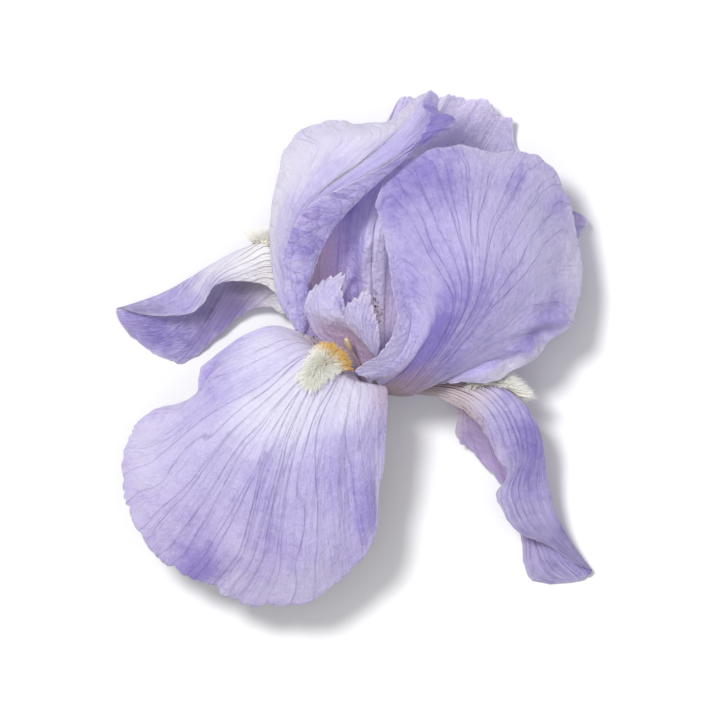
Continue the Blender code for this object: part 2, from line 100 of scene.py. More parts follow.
def turned(row: Row, side: str) -> Row:
    """Guide points of the front arm, turned round the flower's axis for a side and sized for it."""
    spin = np.array(Matrix.Rotation(math.radians(ARM_TURNS[side]), 3, Vector(AXIS)))
    return [tuple(HEART + ARM_SIZES[side] * (spin @ (np.array(point) - HEART))) for point in row]


FALL_FRONT: list[Row] = [
    claw(-30),
    [(-7.0, 0.5, 40.0), (-1.8, -4.5, 40.5), (3.8, -10.8, 37.5)],
    [(-13.0, 4.0, 45.0), (-9.0, 0.0, 47.0), (-5.0, -2.8, 48.5), (-0.5, -7.6, 46.0), (5.0, -10.2, 42.5)],
    [(-21.0, 6.2, 47.0), (-16.8, 2.2, 51.5), (-12.8, -2.0, 53.0), (-9.6, -4.8, 54.0),
     (-5.0, -7.8, 52.2), (1.0, -9.2, 49.5), (8.3, -9.8, 45.5)],
    [(-28.0, 4.0, 47.5), (-26.5, -3.0, 53.0), (-23.5, -10.5, 55.5), (-17.8, -16.5, 56.0),
     (-10.8, -20.0, 55.0), (-1.5, -19.5, 52.5), (8.6, -15.5, 46.5)],
    [(-33.5, 0.5, 47.0), (-36.5, -9.0, 51.5), (-34.5, -21.0, 53.5), (-24.3, -30.5, 54.5),
     (-15.2, -34.0, 53.5), (-2.4, -31.5, 50.5), (8.2, -22.5, 45.0)],
    [(-37.0, -2.2, 46.0), (-40.0, -11.5, 46.0), (-48.0, -18.8, 46.5), (-51.0, -28.0, 44.5),
     (-47.5, -38.0, 43.0),
     (-41.0, -46.0, 42.0), (-31.5, -50.5, 43.0), (-25.5, -54.0, 44.0), (-18.5, -55.0, 45.0),
     (-10.0, -53.0, 44.8), (-1.5, -47.5, 44.2), (4.5, -39.5, 43.5), (7.6, -30.5, 43.5)],
    [(-40.0, -4.6, 44.5), (-42.6, -12.6, 43.5), (-53.0, -16.4, 42.5), (-59.6, -23.6, 40.0),
     (-61.0, -33.0, 37.5), (-58.0, -44.0, 34.0), (-52.5, -53.0, 31.0), (-45.5, -58.5, 29.5),
     (-38.5, -59.6, 29.5), (-35.0, -63.8, 30.0), (-29.0, -67.0, 30.5), (-20.0, -67.2, 31.5),
     (-10.5, -64.8, 33.5), (-2.5, -60.0, 35.5), (2.9, -53.7, 37.8), (6.1, -45.5, 39.8), (6.0, -37.0, 41.0)],
]

FALL_LEFT: list[Row] = [
    claw(-150)[::-1],
    [(-3.0, -2.5, 25.5), (-4.5, 0.5, 25.0), (-5.0, 2.5, 23.0), (-4.0, 2.0, 20.5), (-2.5, 0.5, 18.5)],
    [(-11.0, 5.5, 26.0), (-12.5, 9.5, 26.5), (-12.8, 13.0, 24.0), (-11.3, 11.5, 20.0), (-9.3, 8.0, 16.5)],
    [(-19.7, 14.2, 25.5), (-20.8, 21.0, 27.0), (-21.2, 27.0, 24.5), (-19.0, 21.0, 16.0), (-18.0, 9.5, 11.0)],
    [(-27.0, 17.5, 25.0), (-27.8, 22.8, 26.0), (-28.5, 26.3, 22.5), (-26.5, 19.0, 13.0), (-26.5, 10.2, 7.5)],
    [(-35.5, 17.0, 21.5), (-35.8, 20.5, 21.5), (-36.0, 22.4, 18.0), (-34.5, 13.5, 8.5), (-34.5, 4.5, 4.0)],
    [(-40.0, 11.0, 18.5), (-41.8, 15.5, 17.5), (-43.2, 18.0, 14.0), (-41.5, 8.0, 5.0), (-42.5, -3.2, 0.9)],
    [(-46.0, 8.7, 15.0), (-47.5, 12.5, 14.0), (-49.0, 14.8, 11.0), (-48.0, 6.5, 3.2), (-48.5, -2.8, 0.5)],
    [(-54.5, 9.3, 10.5), (-55.0, 11.2, 10.0), (-55.5, 12.3, 8.0), (-54.5, 6.5, 3.0), (-54.0, 0.2, 0.6)],
    [(-59.3, 10.4, 7.6), (-60.8, 11.0, 6.6), (-61.9, 10.3, 5.0), (-60.9, 7.3, 3.2), (-58.0, 3.4, 1.2)],
]

FALL_RIGHT: list[Row] = [
    claw(90),
    [(12.5, -11.8, 30.0), (13.0, -10.6, 31.0), (13.5, -9.5, 30.5), (13.5, -9.0, 28.5), (13.0, -9.3, 26.0)],
    [(20.0, -11.9, 29.5), (21.5, -10.2, 31.0), (22.5, -8.4, 30.5), (22.0, -8.4, 26.0), (21.0, -10.5, 21.5)],
    [(27.0, -14.8, 30.0), (29.0, -11.5, 32.0), (30.5, -8.3, 31.5), (29.0, -9.5, 24.0), (26.5, -16.0, 14.0)],
    [(32.5, -20.0, 29.5), (35.5, -14.5, 32.0), (37.8, -9.3, 31.0), (34.0, -14.0, 19.0), (26.6, -23.5, 7.0)],
    [(36.5, -26.8, 26.0), (41.0, -20.0, 29.5), (44.5, -14.5, 29.0), (39.0, -21.0, 14.0), (31.5, -28.0, 4.5)],
    [(39.6, -32.5, 22.5), (44.5, -27.0, 25.5), (48.5, -22.5, 25.5), (43.0, -28.5, 11.0), (37.5, -34.3, 3.5)],
    [(36.8, -38.5, 20.5), (43.5, -35.5, 21.5), (50.0, -32.5, 20.0), (45.0, -36.5, 8.0), (41.0, -41.5, 2.5)],
    [(41.5, -46.3, 15.0), (47.5, -44.0, 16.0), (52.3, -42.0, 15.0), (48.0, -46.0, 5.0), (43.6, -50.0, 1.0)],
    [(50.5, -51.3, 9.0), (54.0, -50.6, 10.0), (56.3, -50.2, 9.0), (52.0, -54.0, 3.0), (45.0, -59.3, 0.6)],
    [(58.3, -56.2, 6.0), (60.3, -56.6, 5.0), (61.9, -57.6, 3.0), (58.5, -59.9, 1.2), (50.5, -61.0, 0.3)],
]

STANDARD_LEFT: list[Row] = [
    claw(-90),
    [(-11.0, 1.0, 28.8), (-12.1, 2.5, 30.3), (-12.8, 3.2, 32.2), (-12.2, 2.6, 33.9), (-10.6, 1.0, 35.2)],
    [(-16.5, 7.5, 31.0), (-18.0, 20.0, 34.5), (-17.5, 28.5, 39.0), (-15.5, 32.0, 42.0), (-14.0, 33.5, 43.5),
     (-13.5, 32.0, 43.5), (-13.6, 28.0, 42.5), (-14.2, 17.0, 38.8), (-12.2, 6.0, 35.6), (-9.4, 3.8, 34.6)],
    [(-18.5, 10.5, 31.0), (-19.5, 32.0, 36.0), (-12.0, 43.5, 43.0), (0.0, 48.0, 48.0), (10.5, 55.5, 50.0),
     (11.0, 51.0, 50.0), (2.0, 43.5, 49.0), (-11.3, 30.5, 45.0), (-12.4, 12.0, 38.0), (-11.4, 7.0, 35.8)],
    [(-19.5, 12.5, 30.5), (-20.8, 27.0, 31.5), (-18.6, 40.5, 33.0), (-12.5, 49.5, 37.0), (-5.0, 54.0, 41.0),
     (3.0, 55.0, 44.5), (9.0, 56.5, 47.0), (13.5, 60.0, 48.5), (17.2, 64.2, 47.5), (21.4, 65.0, 47.0),
     (22.0, 61.6, 47.6), (25.6, 58.6, 48.0), (16.5, 52.6, 50.5), (10.3, 46.6, 52.0), (1.8, 39.8, 51.0),
     (-6.3, 31.3, 47.0),
     (-11.5, 20.0, 42.2), (-12.6, 11.0, 39.6), (-13.4, 4.0, 37.8)],
    [(-20.0, 14.0, 29.8), (-22.0, 29.0, 28.0), (-20.6, 44.0, 27.0), (-16.5, 55.0, 29.0), (-7.0, 59.8, 32.0),
     (2.0, 59.5, 36.0), (9.5, 59.6, 40.0), (15.0, 65.0, 43.0), (19.8, 67.9, 46.0), (17.8, 64.8, 51.5),
     (18.8, 60.0, 52.3), (14.6, 52.9, 53.8), (7.5, 47.5, 55.5), (-2.3, 42.9, 55.0), (-14.0, 36.9, 50.5),
     (-18.3, 25.0, 45.0), (-18.2, 12.5, 41.4), (-14.8, 3.4, 38.8)],
]

STANDARD_RIGHT: list[Row] = [
    claw(30),
    [(6.5, -9.3, 39.0), (11.0, -7.6, 44.5), (16.0, -8.0, 46.0), (18.0, -9.8, 42.5), (14.0, -11.9, 36.0)],
    [(5.6, -8.0, 44.0), (12.5, -5.2, 49.0), (19.0, 3.0, 55.0), (23.5, 9.5, 59.0), (28.5, 12.5, 60.5),
     (33.5, 11.0, 58.0), (35.5, 5.0, 52.5), (30.5, -3.0, 45.5), (18.0, -10.4, 37.0)],
    [(5.0, -7.6, 47.0), (12.5, -3.6, 51.0), (19.0, 11.5, 57.0), (18.0, 27.5, 57.5), (26.5, 33.0, 58.5),
     (38.5, 31.0, 54.5), (46.5, 18.5, 48.5), (40.5, 1.0, 43.5), (21.3, -9.0, 38.0)],
    [(4.4, -7.4, 49.0), (6.0, -5.4, 51.0), (11.5, -1.4, 52.6), (15.0, 6.5, 54.6), (13.6, 17.0, 55.4),
     (12.0, 28.0, 54.8), (10.5, 38.5, 50.8), (15.5, 45.5, 49.0), (25.5, 48.0, 48.0), (34.5, 47.0, 45.5),
     (43.5, 45.0, 41.5), (50.5, 36.5, 37.0), (54.5, 25.0, 35.0), (53.2, 12.5, 36.0), (46.5, 2.0, 38.5),
     (35.5, -5.5, 41.5), (23.6, -8.6, 38.8)],
    [(3.6, -7.2, 51.4), (-0.2, -5.6, 53.2), (5.8, -0.9, 55.6), (10.5, 7.0, 57.8), (9.7, 18.2, 57.6),
     (7.5, 29.0, 53.5), (5.6, 40.5, 47.5), (12.5, 49.5, 44.5), (25.0, 53.0, 42.5), (36.0, 52.2, 39.0),
     (46.5, 51.7, 33.0), (55.5, 41.0, 28.5), (59.4, 27.0, 26.5), (58.5, 12.5, 28.5), (48.7, -1.0, 34.0),
     (37.0, -8.1, 38.2), (26.0, -8.4, 39.2)],
]

STANDARD_BACK: list[Row] = [
    claw(150)[::-1],
    [(1.0, 0.0, 17.5), (4.5, 0.0, 15.5), (9.5, -1.0, 15.5), (14.5, -2.5, 16.5), (18.0, -4.0, 19.0)],
    [(-12.0, 14.0, 27.5), (-8.0, 15.0, 21.5), (-2.0, 15.0, 16.0), (5.0, 15.0, 18.0), (13.0, 14.0, 11.5),
     (24.0, 12.0, 8.0), (32.0, 9.0, 7.5), (37.5, 6.0, 11.0), (41.0, 3.0, 15.0)],
    [(-14.0, 23.0, 32.0), (-8.5, 27.0, 29.5), (-2.0, 30.0, 25.0), (6.0, 31.5, 29.0), (16.0, 34.0, 15.0),
     (28.0, 33.0, 4.0), (40.0, 27.0, 4.0), (47.0, 22.0, 8.0), (49.0, 15.5, 13.5)],
    [(-13.5, 32.0, 34.0), (-9.0, 38.0, 32.0), (-2.0, 43.0, 27.5), (8.0, 46.5, 27.0), (19.0, 50.0, 11.5),
     (29.0, 50.0, 1.0), (38.0, 47.0, -0.5), (47.5, 40.0, 1.5), (54.5, 32.0, 6.5), (53.5, 21.5, 13.0)],
    [(-13.0, 35.0, 34.5), (-10.0, 41.0, 34.5), (-4.0, 47.5, 33.0), (3.0, 53.0, 30.0), (9.3, 59.0, 26.0),
     (12.5, 66.4, 22.0), (18.0, 64.6, 18.5), (24.5, 66.6, 16.5), (30.0, 65.8, 12.5), (35.6, 65.0, 11.0),
     (38.0, 61.0, 7.0), (41.2, 60.2, 7.5), (42.2, 53.0, 3.0), (50.0, 45.5, 2.5), (55.0, 37.4, 5.5),
     (60.8, 34.0, 7.5), (58.6, 28.5, 11.0), (56.0, 17.0, 18.0)],
]

STYLE_ARM: list[Row] = [
    [around(-30, 2.2, SEAT_GAP, side) for side in (-1.3, 0.0, 1.3)],
    [(-3.6, -1.2, 35.6), (-1.4, -0.4, 37.8), (1.5, -1.0, 38.8), (4.4, -2.8, 38.8), (6.4, -5.2, 37.4)],
    [(-9.6, 3.8, 41.0), (-6.0, 5.0, 44.2), (-1.5, 4.8, 46.2), (3.0, 1.8, 46.2), (6.3, -2.6, 43.8)],
    [(-12.4, 9.2, 47.0), (-10.0, 9.0, 49.0), (-6.5, 8.5, 51.0), (-3.0, 8.0, 52.0), (-1.0, 6.2, 51.5),
     (1.5, 3.5, 50.5), (3.8, 0.8, 49.5), (5.0, -0.6, 48.5), (5.9, -1.6, 47.5)],
    [(-13.0, 10.8, 48.0), (-11.0, 12.5, 51.0), (-7.5, 13.5, 53.5), (-4.0, 12.0, 54.5), (-2.4, 10.0, 54.0),
     (0.5, 9.0, 55.0), (3.0, 7.5, 55.0), (5.2, 4.0, 53.0), (6.4, 0.0, 49.3)],
    [(-12.6, 12.5, 49.0), (-11.5, 15.5, 51.0), (-8.8, 18.0, 53.0), (-6.0, 19.6, 54.5), (-2.0, 20.6, 55.5),
     (-2.9, 17.5, 56.0), (-2.7, 14.0, 55.5), (-2.4, 11.8, 55.0), (-2.2, 11.0, 55.0), (-1.6, 12.6, 56.0),
     (1.0, 14.4, 57.0), (3.9, 16.9, 57.5), (4.7, 13.0, 56.5), (5.8, 9.5, 55.0), (6.5, 6.6, 54.0),
     (6.7, 3.8, 52.7), (6.9, 1.6, 51.3)],
]

STAMEN_PATH: Row = [
    around(-30, 4.0, 1.6 * SEAT_GAP),
    around(-30, 6.5, 4.5),
    around(-30, 11.5, 9.0),
    around(-30, 15.5, 12.0),
]
ANTHER_TIP: Point = around(-30, 20.0, 16.0)
ARM_TURNS: dict[str, float] = {"front": 0.0, "left": -76.0, "right": 142.0}
ARM_SIZES: dict[str, float] = {"front": 1.0, "left": 0.75, "right": 1.0}


class Habit(Enum):
    """How a petal is laid on its net."""

    FAN = "fan"
    STRAP = "strap"


def smooth_step(low: float, high: float, x: np.ndarray) -> np.ndarray:
    """A soft ramp from 0 at low to 1 at high."""
    t = np.clip((x - low) / (high - low), 0.0, 1.0)
    return t * t * (3 - 2 * t)


def spline(points: np.ndarray, t: np.ndarray) -> np.ndarray:
    """Reads smooth curves through evenly spaced points.

    Args:
        points: Guide points, of shape (count, curves, 3).
        t: Where to read each curve, 0 to 1, of shape (readings, curves).

    Returns:
        The points read, of shape (readings, curves, 3).
    """
    last = len(points) - 1
    index = np.clip((t * last).astype(int), 0, last - 1)
    f = (t * last - index)[..., None]
    curve = np.arange(points.shape[1])[None, :]
    padded = np.concatenate([2 * points[:1] - points[1:2], points, 2 * points[-1:] - points[-2:-1]])
    p0, p1, p2, p3 = (padded[index + step, curve] for step in range(4))
    square = 2 * p0 - 5 * p1 + 4 * p2 - p3
    cube = 3 * p1 - p0 - 3 * p2 + p3
    return 0.5 * (2 * p1 + (p2 - p0) * f + square * f * f + cube * f * f * f)


@dataclass(frozen=True)
class Net:
    """Guide rows of a sheet, from its claw to its outer end, in millimetres."""

    rows: list[Row]

    def read(self, u: np.ndarray, v: np.ndarray) -> np.ndarray:
        """Reads points of the sheet.

        Args:
            u: Place across the sheet, 0 to 1, of shape (lines, columns).
            v: Place along the sheet, 0 to 1, of the same shape.

        Returns:
            Points in millimetres, of shape (lines, columns, 3).
        """
        lines, columns = u.shape
        flat_u = u.reshape(1, -1)
        guides = [
            spline(np.array(row, float)[:, None, :].repeat(flat_u.size, axis=1), flat_u)[0]
            for row in self.rows
        ]
        return spline(np.array(guides), v.reshape(1, -1))[0].reshape(lines, columns, 3)

    def normal(self, u: np.ndarray, v: np.ndarray) -> np.ndarray:
        """The unit directions square to the sheet at u, v.

        Args:
            u: Place across the sheet, 0 to 1, of shape (lines, columns).
            v: Place along the sheet, 0 to 1, of the same shape.

        Returns:
            Directions of length 1, of shape (lines, columns, 3).
        """
        step = 0.01
        low_u, high_u = np.clip(u - step, 0, 1), np.clip(u + step, 0, 1)
        low_v, high_v = np.clip(v - step, 0, 1), np.clip(v + step, 0, 1)
        across = self.read(high_u, v) - self.read(low_u, v)
        along = self.read(u, high_v) - self.read(u, low_v)
        square = np.cross(across, along)
        return square / np.maximum(np.linalg.norm(square, axis=-1, keepdims=True), 1e-9)

    def width(self, v: float) -> float:
        """The width at v in millimetres, as the middle tenth measures."""
        ends = self.read(np.array([[0.45, 0.55]]), np.array([[v, v]]))[0]
        return 10 * float(np.linalg.norm(ends[1] - ends[0]))


@dataclass(frozen=True)
class Wobble:
    """A smooth uneven wave made of a few seeded sines, between about -1 and 1."""

    seed: int
    slowest: float
    fastest: float
    parts: int = 6
    fall: float = 0.5

    def __call__(self, x: np.ndarray) -> np.ndarray:
        """The wave's height at each x.

        Args:
            x: Places along the wave.

        Returns:
            The heights, of the same shape.
        """
        draw = np.random.default_rng(self.seed)
        total = np.zeros_like(x)
        power = 0.0
        for rate in np.geomspace(self.slowest, self.fastest, self.parts):
            part = (self.slowest / rate) ** self.fall
            total = total + part * np.sin(math.tau * (rate * x * draw.uniform(0.9, 1.1) + draw.uniform()))
            power += part * part
        return total / math.sqrt(power)


@dataclass(frozen=True)
class Swell:
    """A soft local rise in a petal's relief or in one of its tones, set at a place of its net."""

    u: float
    v: float
    wide: float
    long: float
    amount: float

    def __call__(self, u: np.ndarray, v: np.ndarray) -> np.ndarray:
        """The rise at each u, v."""
        away = ((u - self.u) / self.wide) ** 2 + ((v - self.v) / self.long) ** 2
        return self.amount * np.exp(-away)


@dataclass(frozen=True)
class Ruffle:
    """The main waves of a petal's margin: depth in millimetres, waves and phase."""

    depth: float
    waves: float
    phase: float


@dataclass(frozen=True)
class Tones:
    """Where a petal is deeper or paler, partly as painted shade and painted light, flushed with mauve, tanned
    or flecked, as soft local rises.
    """

    # Darker rises: deeper violet, and painted shade in hollows, creases and sides turned from the light.
    deep: tuple[Swell, ...] = ()
    # Paler rises: bleached places, and painted light where the lamp leaves the sheet dim.
    bleach: tuple[Swell, ...] = ()
    # Mauve flush; on the left fall it is painted shade, and on the back standard it is partly painted light
    # inside the bloom.
    flush: tuple[Swell, ...] = ()
    tan: tuple[Swell, ...] = ()
    flecks: tuple[Swell, ...] = ()


def srgb(red: int, green: int, blue: int) -> Colour:
    """A screen colour of 0 to 255 as the linear colour that shaders take.

    Args:
        red: The red channel, 0 to 255.
        green: The green channel.
        blue: The blue channel.

    Returns:
        Red, green, blue and an opacity of 1.
    """
    def linear(value: int) -> float:
        """One channel made linear."""
        part = value / 255
        return part / 12.92 if part <= 0.04045 else ((part + 0.055) / 1.055) ** 2.4
    return (linear(red), linear(green), linear(blue), 1.0)


class Recipe:
    """A material's nodes, added one small step at a time."""

    def __init__(self, name: str) -> None:
        """Starts a material with a bare Principled shader.

        Args:
            name: The material's name.
        """
        self.material: Material = bpy.data.materials.new(name)
        self.material.use_nodes = True
        self.nodes = self.material.node_tree.nodes
        self.links = self.material.node_tree.links
        self.shader = self.nodes["Principled BSDF"]

    def feed(self, value: Signal, socket: NodeSocket) -> None:
        """Links a socket to a value, or sets it where the value is a plain number.

        Args:
            value: A socket, or a number, vector or colour.
            socket: The socket that takes it.
        """
        if isinstance(value, NodeSocket):
            self.links.new(value, socket)
        else:
            socket.default_value = value

    def set(self, **sockets: Signal) -> None:
        """Sets the shader's own sockets, their names written with underscores."""
        for name, value in sockets.items():
            self.feed(value, self.shader.inputs[name.replace("_", " ")])

    def math(self, kind: str, first: Signal, second: Signal = 0.0, clamp: bool = False) -> NodeSocket:
        """Adds one step of arithmetic.

        Args:
            kind: Blender's name for the operation.
            first: The first operand.
            second: The second operand, where the operation has one.
            clamp: Whether the result is kept between 0 and 1.

        Returns:
            The result.
        """
        node = self.nodes.new("ShaderNodeMath")
        node.operation = kind
        node.use_clamp = clamp
        self.feed(first, node.inputs[0])
        self.feed(second, node.inputs[1])
        return node.outputs[0]

    def total(self, *values: Signal) -> Signal:
        """The sum of all values.

        Args:
            values: What is added up.

        Returns:
            The sum.
        """
        result = values[0]
        for value in values[1:]:
            result = self.math("ADD", result, value)
        return result

    def product(self, *values: Signal) -> Signal:
        """The product of all values.

        Args:
            values: What is multiplied.

        Returns:
            The product.
        """
        result = values[0]
        for value in values[1:]:
            result = self.math("MULTIPLY", result, value)
        return result

    def swing(self, noise: Signal, amount: float) -> Signal:
        """A noise's swing about its middle of a half, times amount."""
        return self.product(self.total(noise, -0.5), amount)

    def ease(self, value: Signal, low: float, high: float, start: float = 0.0,
             end: float = 1.0) -> NodeSocket:
        """Adds a soft ramp.

        Args:
            value: What the ramp reads.
            low: Where the ramp begins.
            high: Where the ramp ends.
            start: The result below the ramp.
            end: The result above the ramp.

        Returns:
            The result.
        """
        node = self.nodes.new("ShaderNodeMapRange")
        node.interpolation_type = "SMOOTHSTEP"
        self.feed(value, node.inputs["Value"])
        for name, bound in (("From Min", low), ("From Max", high), ("To Min", start), ("To Max", end)):
            node.inputs[name].default_value = bound
        return node.outputs["Result"]

    def blend(self, amount: Signal, first: Signal, second: Signal) -> NodeSocket:
        """The first colour going over to the second as amount goes from 0 to 1.

        Args:
            amount: How far the second colour has taken over.
            first: The colour at 0.
            second: The colour at 1.

        Returns:
            The blended colour.
        """
        node = self.nodes.new("ShaderNodeMix")
        node.data_type = "RGBA"
        self.feed(amount, node.inputs["Factor"])
        self.feed(first, node.inputs["A"])
        self.feed(second, node.inputs["B"])
        return node.outputs["Result"]

    def reading(self, name: str) -> NodeSocket:
        """A number that the mesh carries under this name.

        Args:
            name: The attribute's name.

        Returns:
            The number.
        """
        node = self.nodes.new("ShaderNodeAttribute")
        node.attribute_name = name
        return node.outputs["Fac"]

    def vector(self, x: Signal, y: Signal, z: Signal = 0.0) -> NodeSocket:
        """Three numbers as one vector.

        Args:
            x: The first number.
            y: The second number.
            z: The third number.

        Returns:
            The vector.
        """
        node = self.nodes.new("ShaderNodeCombineXYZ")
        for value, socket in zip((x, y, z), node.inputs):
            self.feed(value, socket)
        return node.outputs[0]

    def place(self) -> NodeSocket:
        """The point on the object, in metres."""
        return self.nodes.new("ShaderNodeTexCoord").outputs["Object"]

    def noise(self, where: Signal, scale: float, detail: float = 2.0, roughness: float = 0.5) -> NodeSocket:
        """Adds soft noise between about 0 and 1.

        Args:
            where: The coordinates.
            scale: Noise cells to a unit of the coordinates.
            detail: How many finer layers are added.
            roughness: How strong the finer layers are.

        Returns:
            The noise.
        """
        node = self.nodes.new("ShaderNodeTexNoise")
        self.feed(where, node.inputs["Vector"])
        node.inputs["Scale"].default_value = scale
        node.inputs["Detail"].default_value = detail
        node.inputs["Roughness"].default_value = roughness
        return node.outputs["Fac"]

    def cracks(self, where: Signal) -> NodeSocket:
        """The distance to the borders between uneven cells, one to a unit of the coordinates.

        Args:
            where: The coordinates.

        Returns:
            The distance, 0 on a border.
        """
        node = self.nodes.new("ShaderNodeTexVoronoi")
        node.feature = "DISTANCE_TO_EDGE"
        self.feed(where, node.inputs["Vector"])
        node.inputs["Scale"].default_value = 1.0
        return node.outputs["Distance"]

    def chance(self, value: Signal) -> NodeSocket:
        """A random number from 0 to 1 that belongs to value.

        Args:
            value: What the random number belongs to.

        Returns:
            The random number.
        """
        node = self.nodes.new("ShaderNodeTexWhiteNoise")
        node.noise_dimensions = "1D"
        self.feed(value, node.inputs["W"])
        return node.outputs["Value"]

    def relief(self, height: Signal, depth: float) -> None:
        """Gives the surface a bump of that depth in metres.

        Args:
            height: The relief, about 0 to 1.
            depth: How deep a relief of 1 is, in metres.
        """
        node = self.nodes.new("ShaderNodeBump")
        node.inputs["Strength"].default_value = 1.0
        node.inputs["Distance"].default_value = depth
        self.feed(height, node.inputs["Height"])
        self.feed(node.outputs["Normal"], self.shader.inputs["Normal"])


@dataclass(frozen=True)
class Pen:
    """How a vein is drawn: half its width and how far its colour bleeds, in millimetres."""

    thick: float
    soft: float


MAIN_PEN = Pen(0.04, 0.15)
HALO_PEN = Pen(0.1, 1.1)
FINE_PEN = Pen(0.02, 0.13)

# Cells to a metre of the noises that lie in a petal's skin.
CLOUD_SCALE = 60.0
PATCH_SCALE = 160.0
CREPE_SCALE = 420.0
FLECK_SCALE = 1300.0
GRAIN_SCALE = 1500.0
RELIEF_DEPTH = 0.001


@dataclass(frozen=True)
class Skin:
    """What a petal's material reads: its mesh's readings, its noises and its veins."""

    u: NodeSocket
    v: NodeSocket
    width: NodeSocket
    streaks: NodeSocket
    fibres: NodeSocket
    clouds: NodeSocket
    crepe: NodeSocket
    grain: NodeSocket
    patchy: NodeSocket
    outer: NodeSocket
    main: NodeSocket
    halo: NodeSocket
    fine: NodeSocket
    cells: NodeSocket


@dataclass(frozen=True)
class PetalFinish:
    """The colour, veins and soft gloss of a petal."""

    name: str
    veins: float = 14.0
    vein_strength: float = 0.6
    fine_veins: float = 2.7
    unevenness: float = 1.3
    wander: float = 1.5
    fork_from: float = 0.35
    fork_to: float = 1.0
    fork_spread: float = 0.25
    faintest: float = 0.15
    haft_brown: float = 0.5
    haft_end: float = 0.45
    net: float = 0.2
    net_from: float = -0.2
    slant: float = 0.0
    rib: float = 0.0
    rib_at: float = 0.5
    ground: Colour = srgb(198, 190, 230)
    pale: Colour = srgb(227, 222, 246)
    # The colour that deeper places and painted shade go towards.
    deep: Colour = srgb(145, 130, 201)
    # The flush colour; the left fall gives a grey one as painted shade and the back standard a near-white
    # pink as painted light.
    flush: Colour = srgb(196, 168, 192)
    vein: Colour = srgb(112, 94, 160)
    haft_vein: Colour = srgb(134, 98, 106)
    haft: Colour = srgb(240, 234, 236)
    tan: Colour = srgb(176, 152, 98)
    fleck: Colour = srgb(78, 48, 40)

    def lines(self, mix: Recipe, count: float, pen: Pen) -> NodeSocket:
        """Adds veins that run along the petal and fork once on their way.

        Args:
            mix: The recipe that the nodes go into.
            count: Veins across the petal before they fork.
            pen: How each vein is drawn.

        Returns:
            1 on a vein, falling to 0 beside it.
        """
        u, v, width = (mix.reading(name) for name in ("across", "along", "width"))
        if self.slant:
            sweep = mix.product(mix.ease(v, 0.0, 1.0), -self.slant)
            u = mix.total(mix.math("ABSOLUTE", mix.total(u, -self.rib_at)), sweep)
        uneven = mix.noise(mix.vector(mix.product(u, count * 0.45), count), 1.0, 1.0)
        drift = mix.noise(mix.vector(mix.product(u, 7.0), mix.product(v, 3.0), count), 1.0, 2.0, 0.45)
        middle = -0.5 * (self.unevenness + self.wander)
        shift = mix.total(mix.product(uneven, self.unevenness), mix.product(drift, self.wander), middle)
        spread = mix.total(mix.product(u, count), shift)
        own = mix.math("ROUND", spread)
        beside = mix.math("ABSOLUTE", mix.math("SUBTRACT", spread, own))
        late = mix.total(v, mix.swing(mix.chance(own), 0.6))
        fork = mix.ease(late, self.fork_from, self.fork_to, 0.0, self.fork_spread)
        away = mix.math("ABSOLUTE", mix.math("SUBTRACT", beside, fork))
        distance = mix.product(away, mix.math("DIVIDE", width, count))
        faint = mix.ease(mix.chance(mix.total(own, 0.37)), 0.0, 1.0, self.faintest, 1.0)
        return mix.product(mix.ease(distance, pen.thick, pen.thick + pen.soft, 1.0, 0.0), faint)

    def skin(self, mix: Recipe) -> Skin:
        """Adds everything that the petal's colour and relief are made from.

        Args:
            mix: The recipe that the nodes go into.

        Returns:
            The readings, noises and veins.
        """
        u, v, width = (mix.reading(name) for name in ("across", "along", "width"))
        crepe = mix.noise(mix.place(), CREPE_SCALE, 5.0, 0.68)
        cell_rows = mix.total(mix.product(v, 17.0), mix.product(crepe, 1.2))
        cells = mix.cracks(mix.vector(mix.product(u, self.veins * 2.2), cell_rows))
        return Skin(
            u=u, v=v, width=width, crepe=crepe,
            streaks=mix.noise(mix.vector(mix.product(u, self.veins * 1.6), mix.product(v, 2.2)), 1.0, 5.0,
                              0.55),
            fibres=mix.noise(mix.vector(mix.product(u, self.veins * 9), mix.product(v, 14.0)), 1.0, 3.0, 0.6),
            clouds=mix.noise(mix.place(), CLOUD_SCALE, 5.0, 0.6),
            grain=mix.noise(mix.place(), GRAIN_SCALE, 2.0),
            patchy=mix.ease(mix.noise(mix.place(), PATCH_SCALE, 3.0), 0.32, 0.62, 0.3, 1.0),
            outer=mix.ease(v, 0.35, 0.9),
            main=self.lines(mix, self.veins, MAIN_PEN),
            halo=self.lines(mix, self.veins, HALO_PEN),
            fine=self.lines(mix, self.veins * self.fine_veins, FINE_PEN),
            cells=mix.ease(cells, 0.0, 0.11, 1.0, 0.0),
        )

    def tinted(self, mix: Recipe, skin: Skin) -> NodeSocket:
        """The petal's colour before its veins: ground, deeper and paler places with their painted shade and
        painted light, and the blush, which on some petals is painted shade and light too.

        Args:
            mix: The recipe that the nodes go into.
            skin: What the material reads.

        Returns:
            The colour.
        """
        # Darkening towards the deep colour: deeper violet and painted shade from the deep rises, and uneven
        # tone from the noises.
        depth = mix.total(
            mix.reading("deep"),
            mix.swing(skin.clouds, 1.25),
            mix.swing(skin.crepe, 0.8),
            mix.swing(skin.streaks, 0.4),
            mix.swing(skin.fibres, 0.3),
            mix.product(skin.halo, 0.16 * self.vein_strength),
            0.1,
        )
        colour = mix.blend(mix.ease(depth, 0.0, 1.0), self.ground, self.deep)
        # The flush, which is painted shade on the left fall and partly painted light on the back standard.
        flush_and_shading_weight = mix.math("MULTIPLY", mix.reading("flush"), 0.9, clamp=True)
        colour = mix.blend(flush_and_shading_weight, colour, self.flush)
        # Lightening towards the pale colour: bleached places and painted light, from the bleach rises.
        lightened = mix.total(
            mix.reading("bleach"), mix.swing(skin.clouds, -0.8), mix.product(skin.streaks, -0.3), 0.1,
        )
        colour = mix.blend(mix.ease(lightened, 0.0, 1.1), colour, self.pale)
        return mix.blend(mix.ease(mix.reading("margin"), 0.0, 0.7, 0.18, 0.0), colour, self.pale)

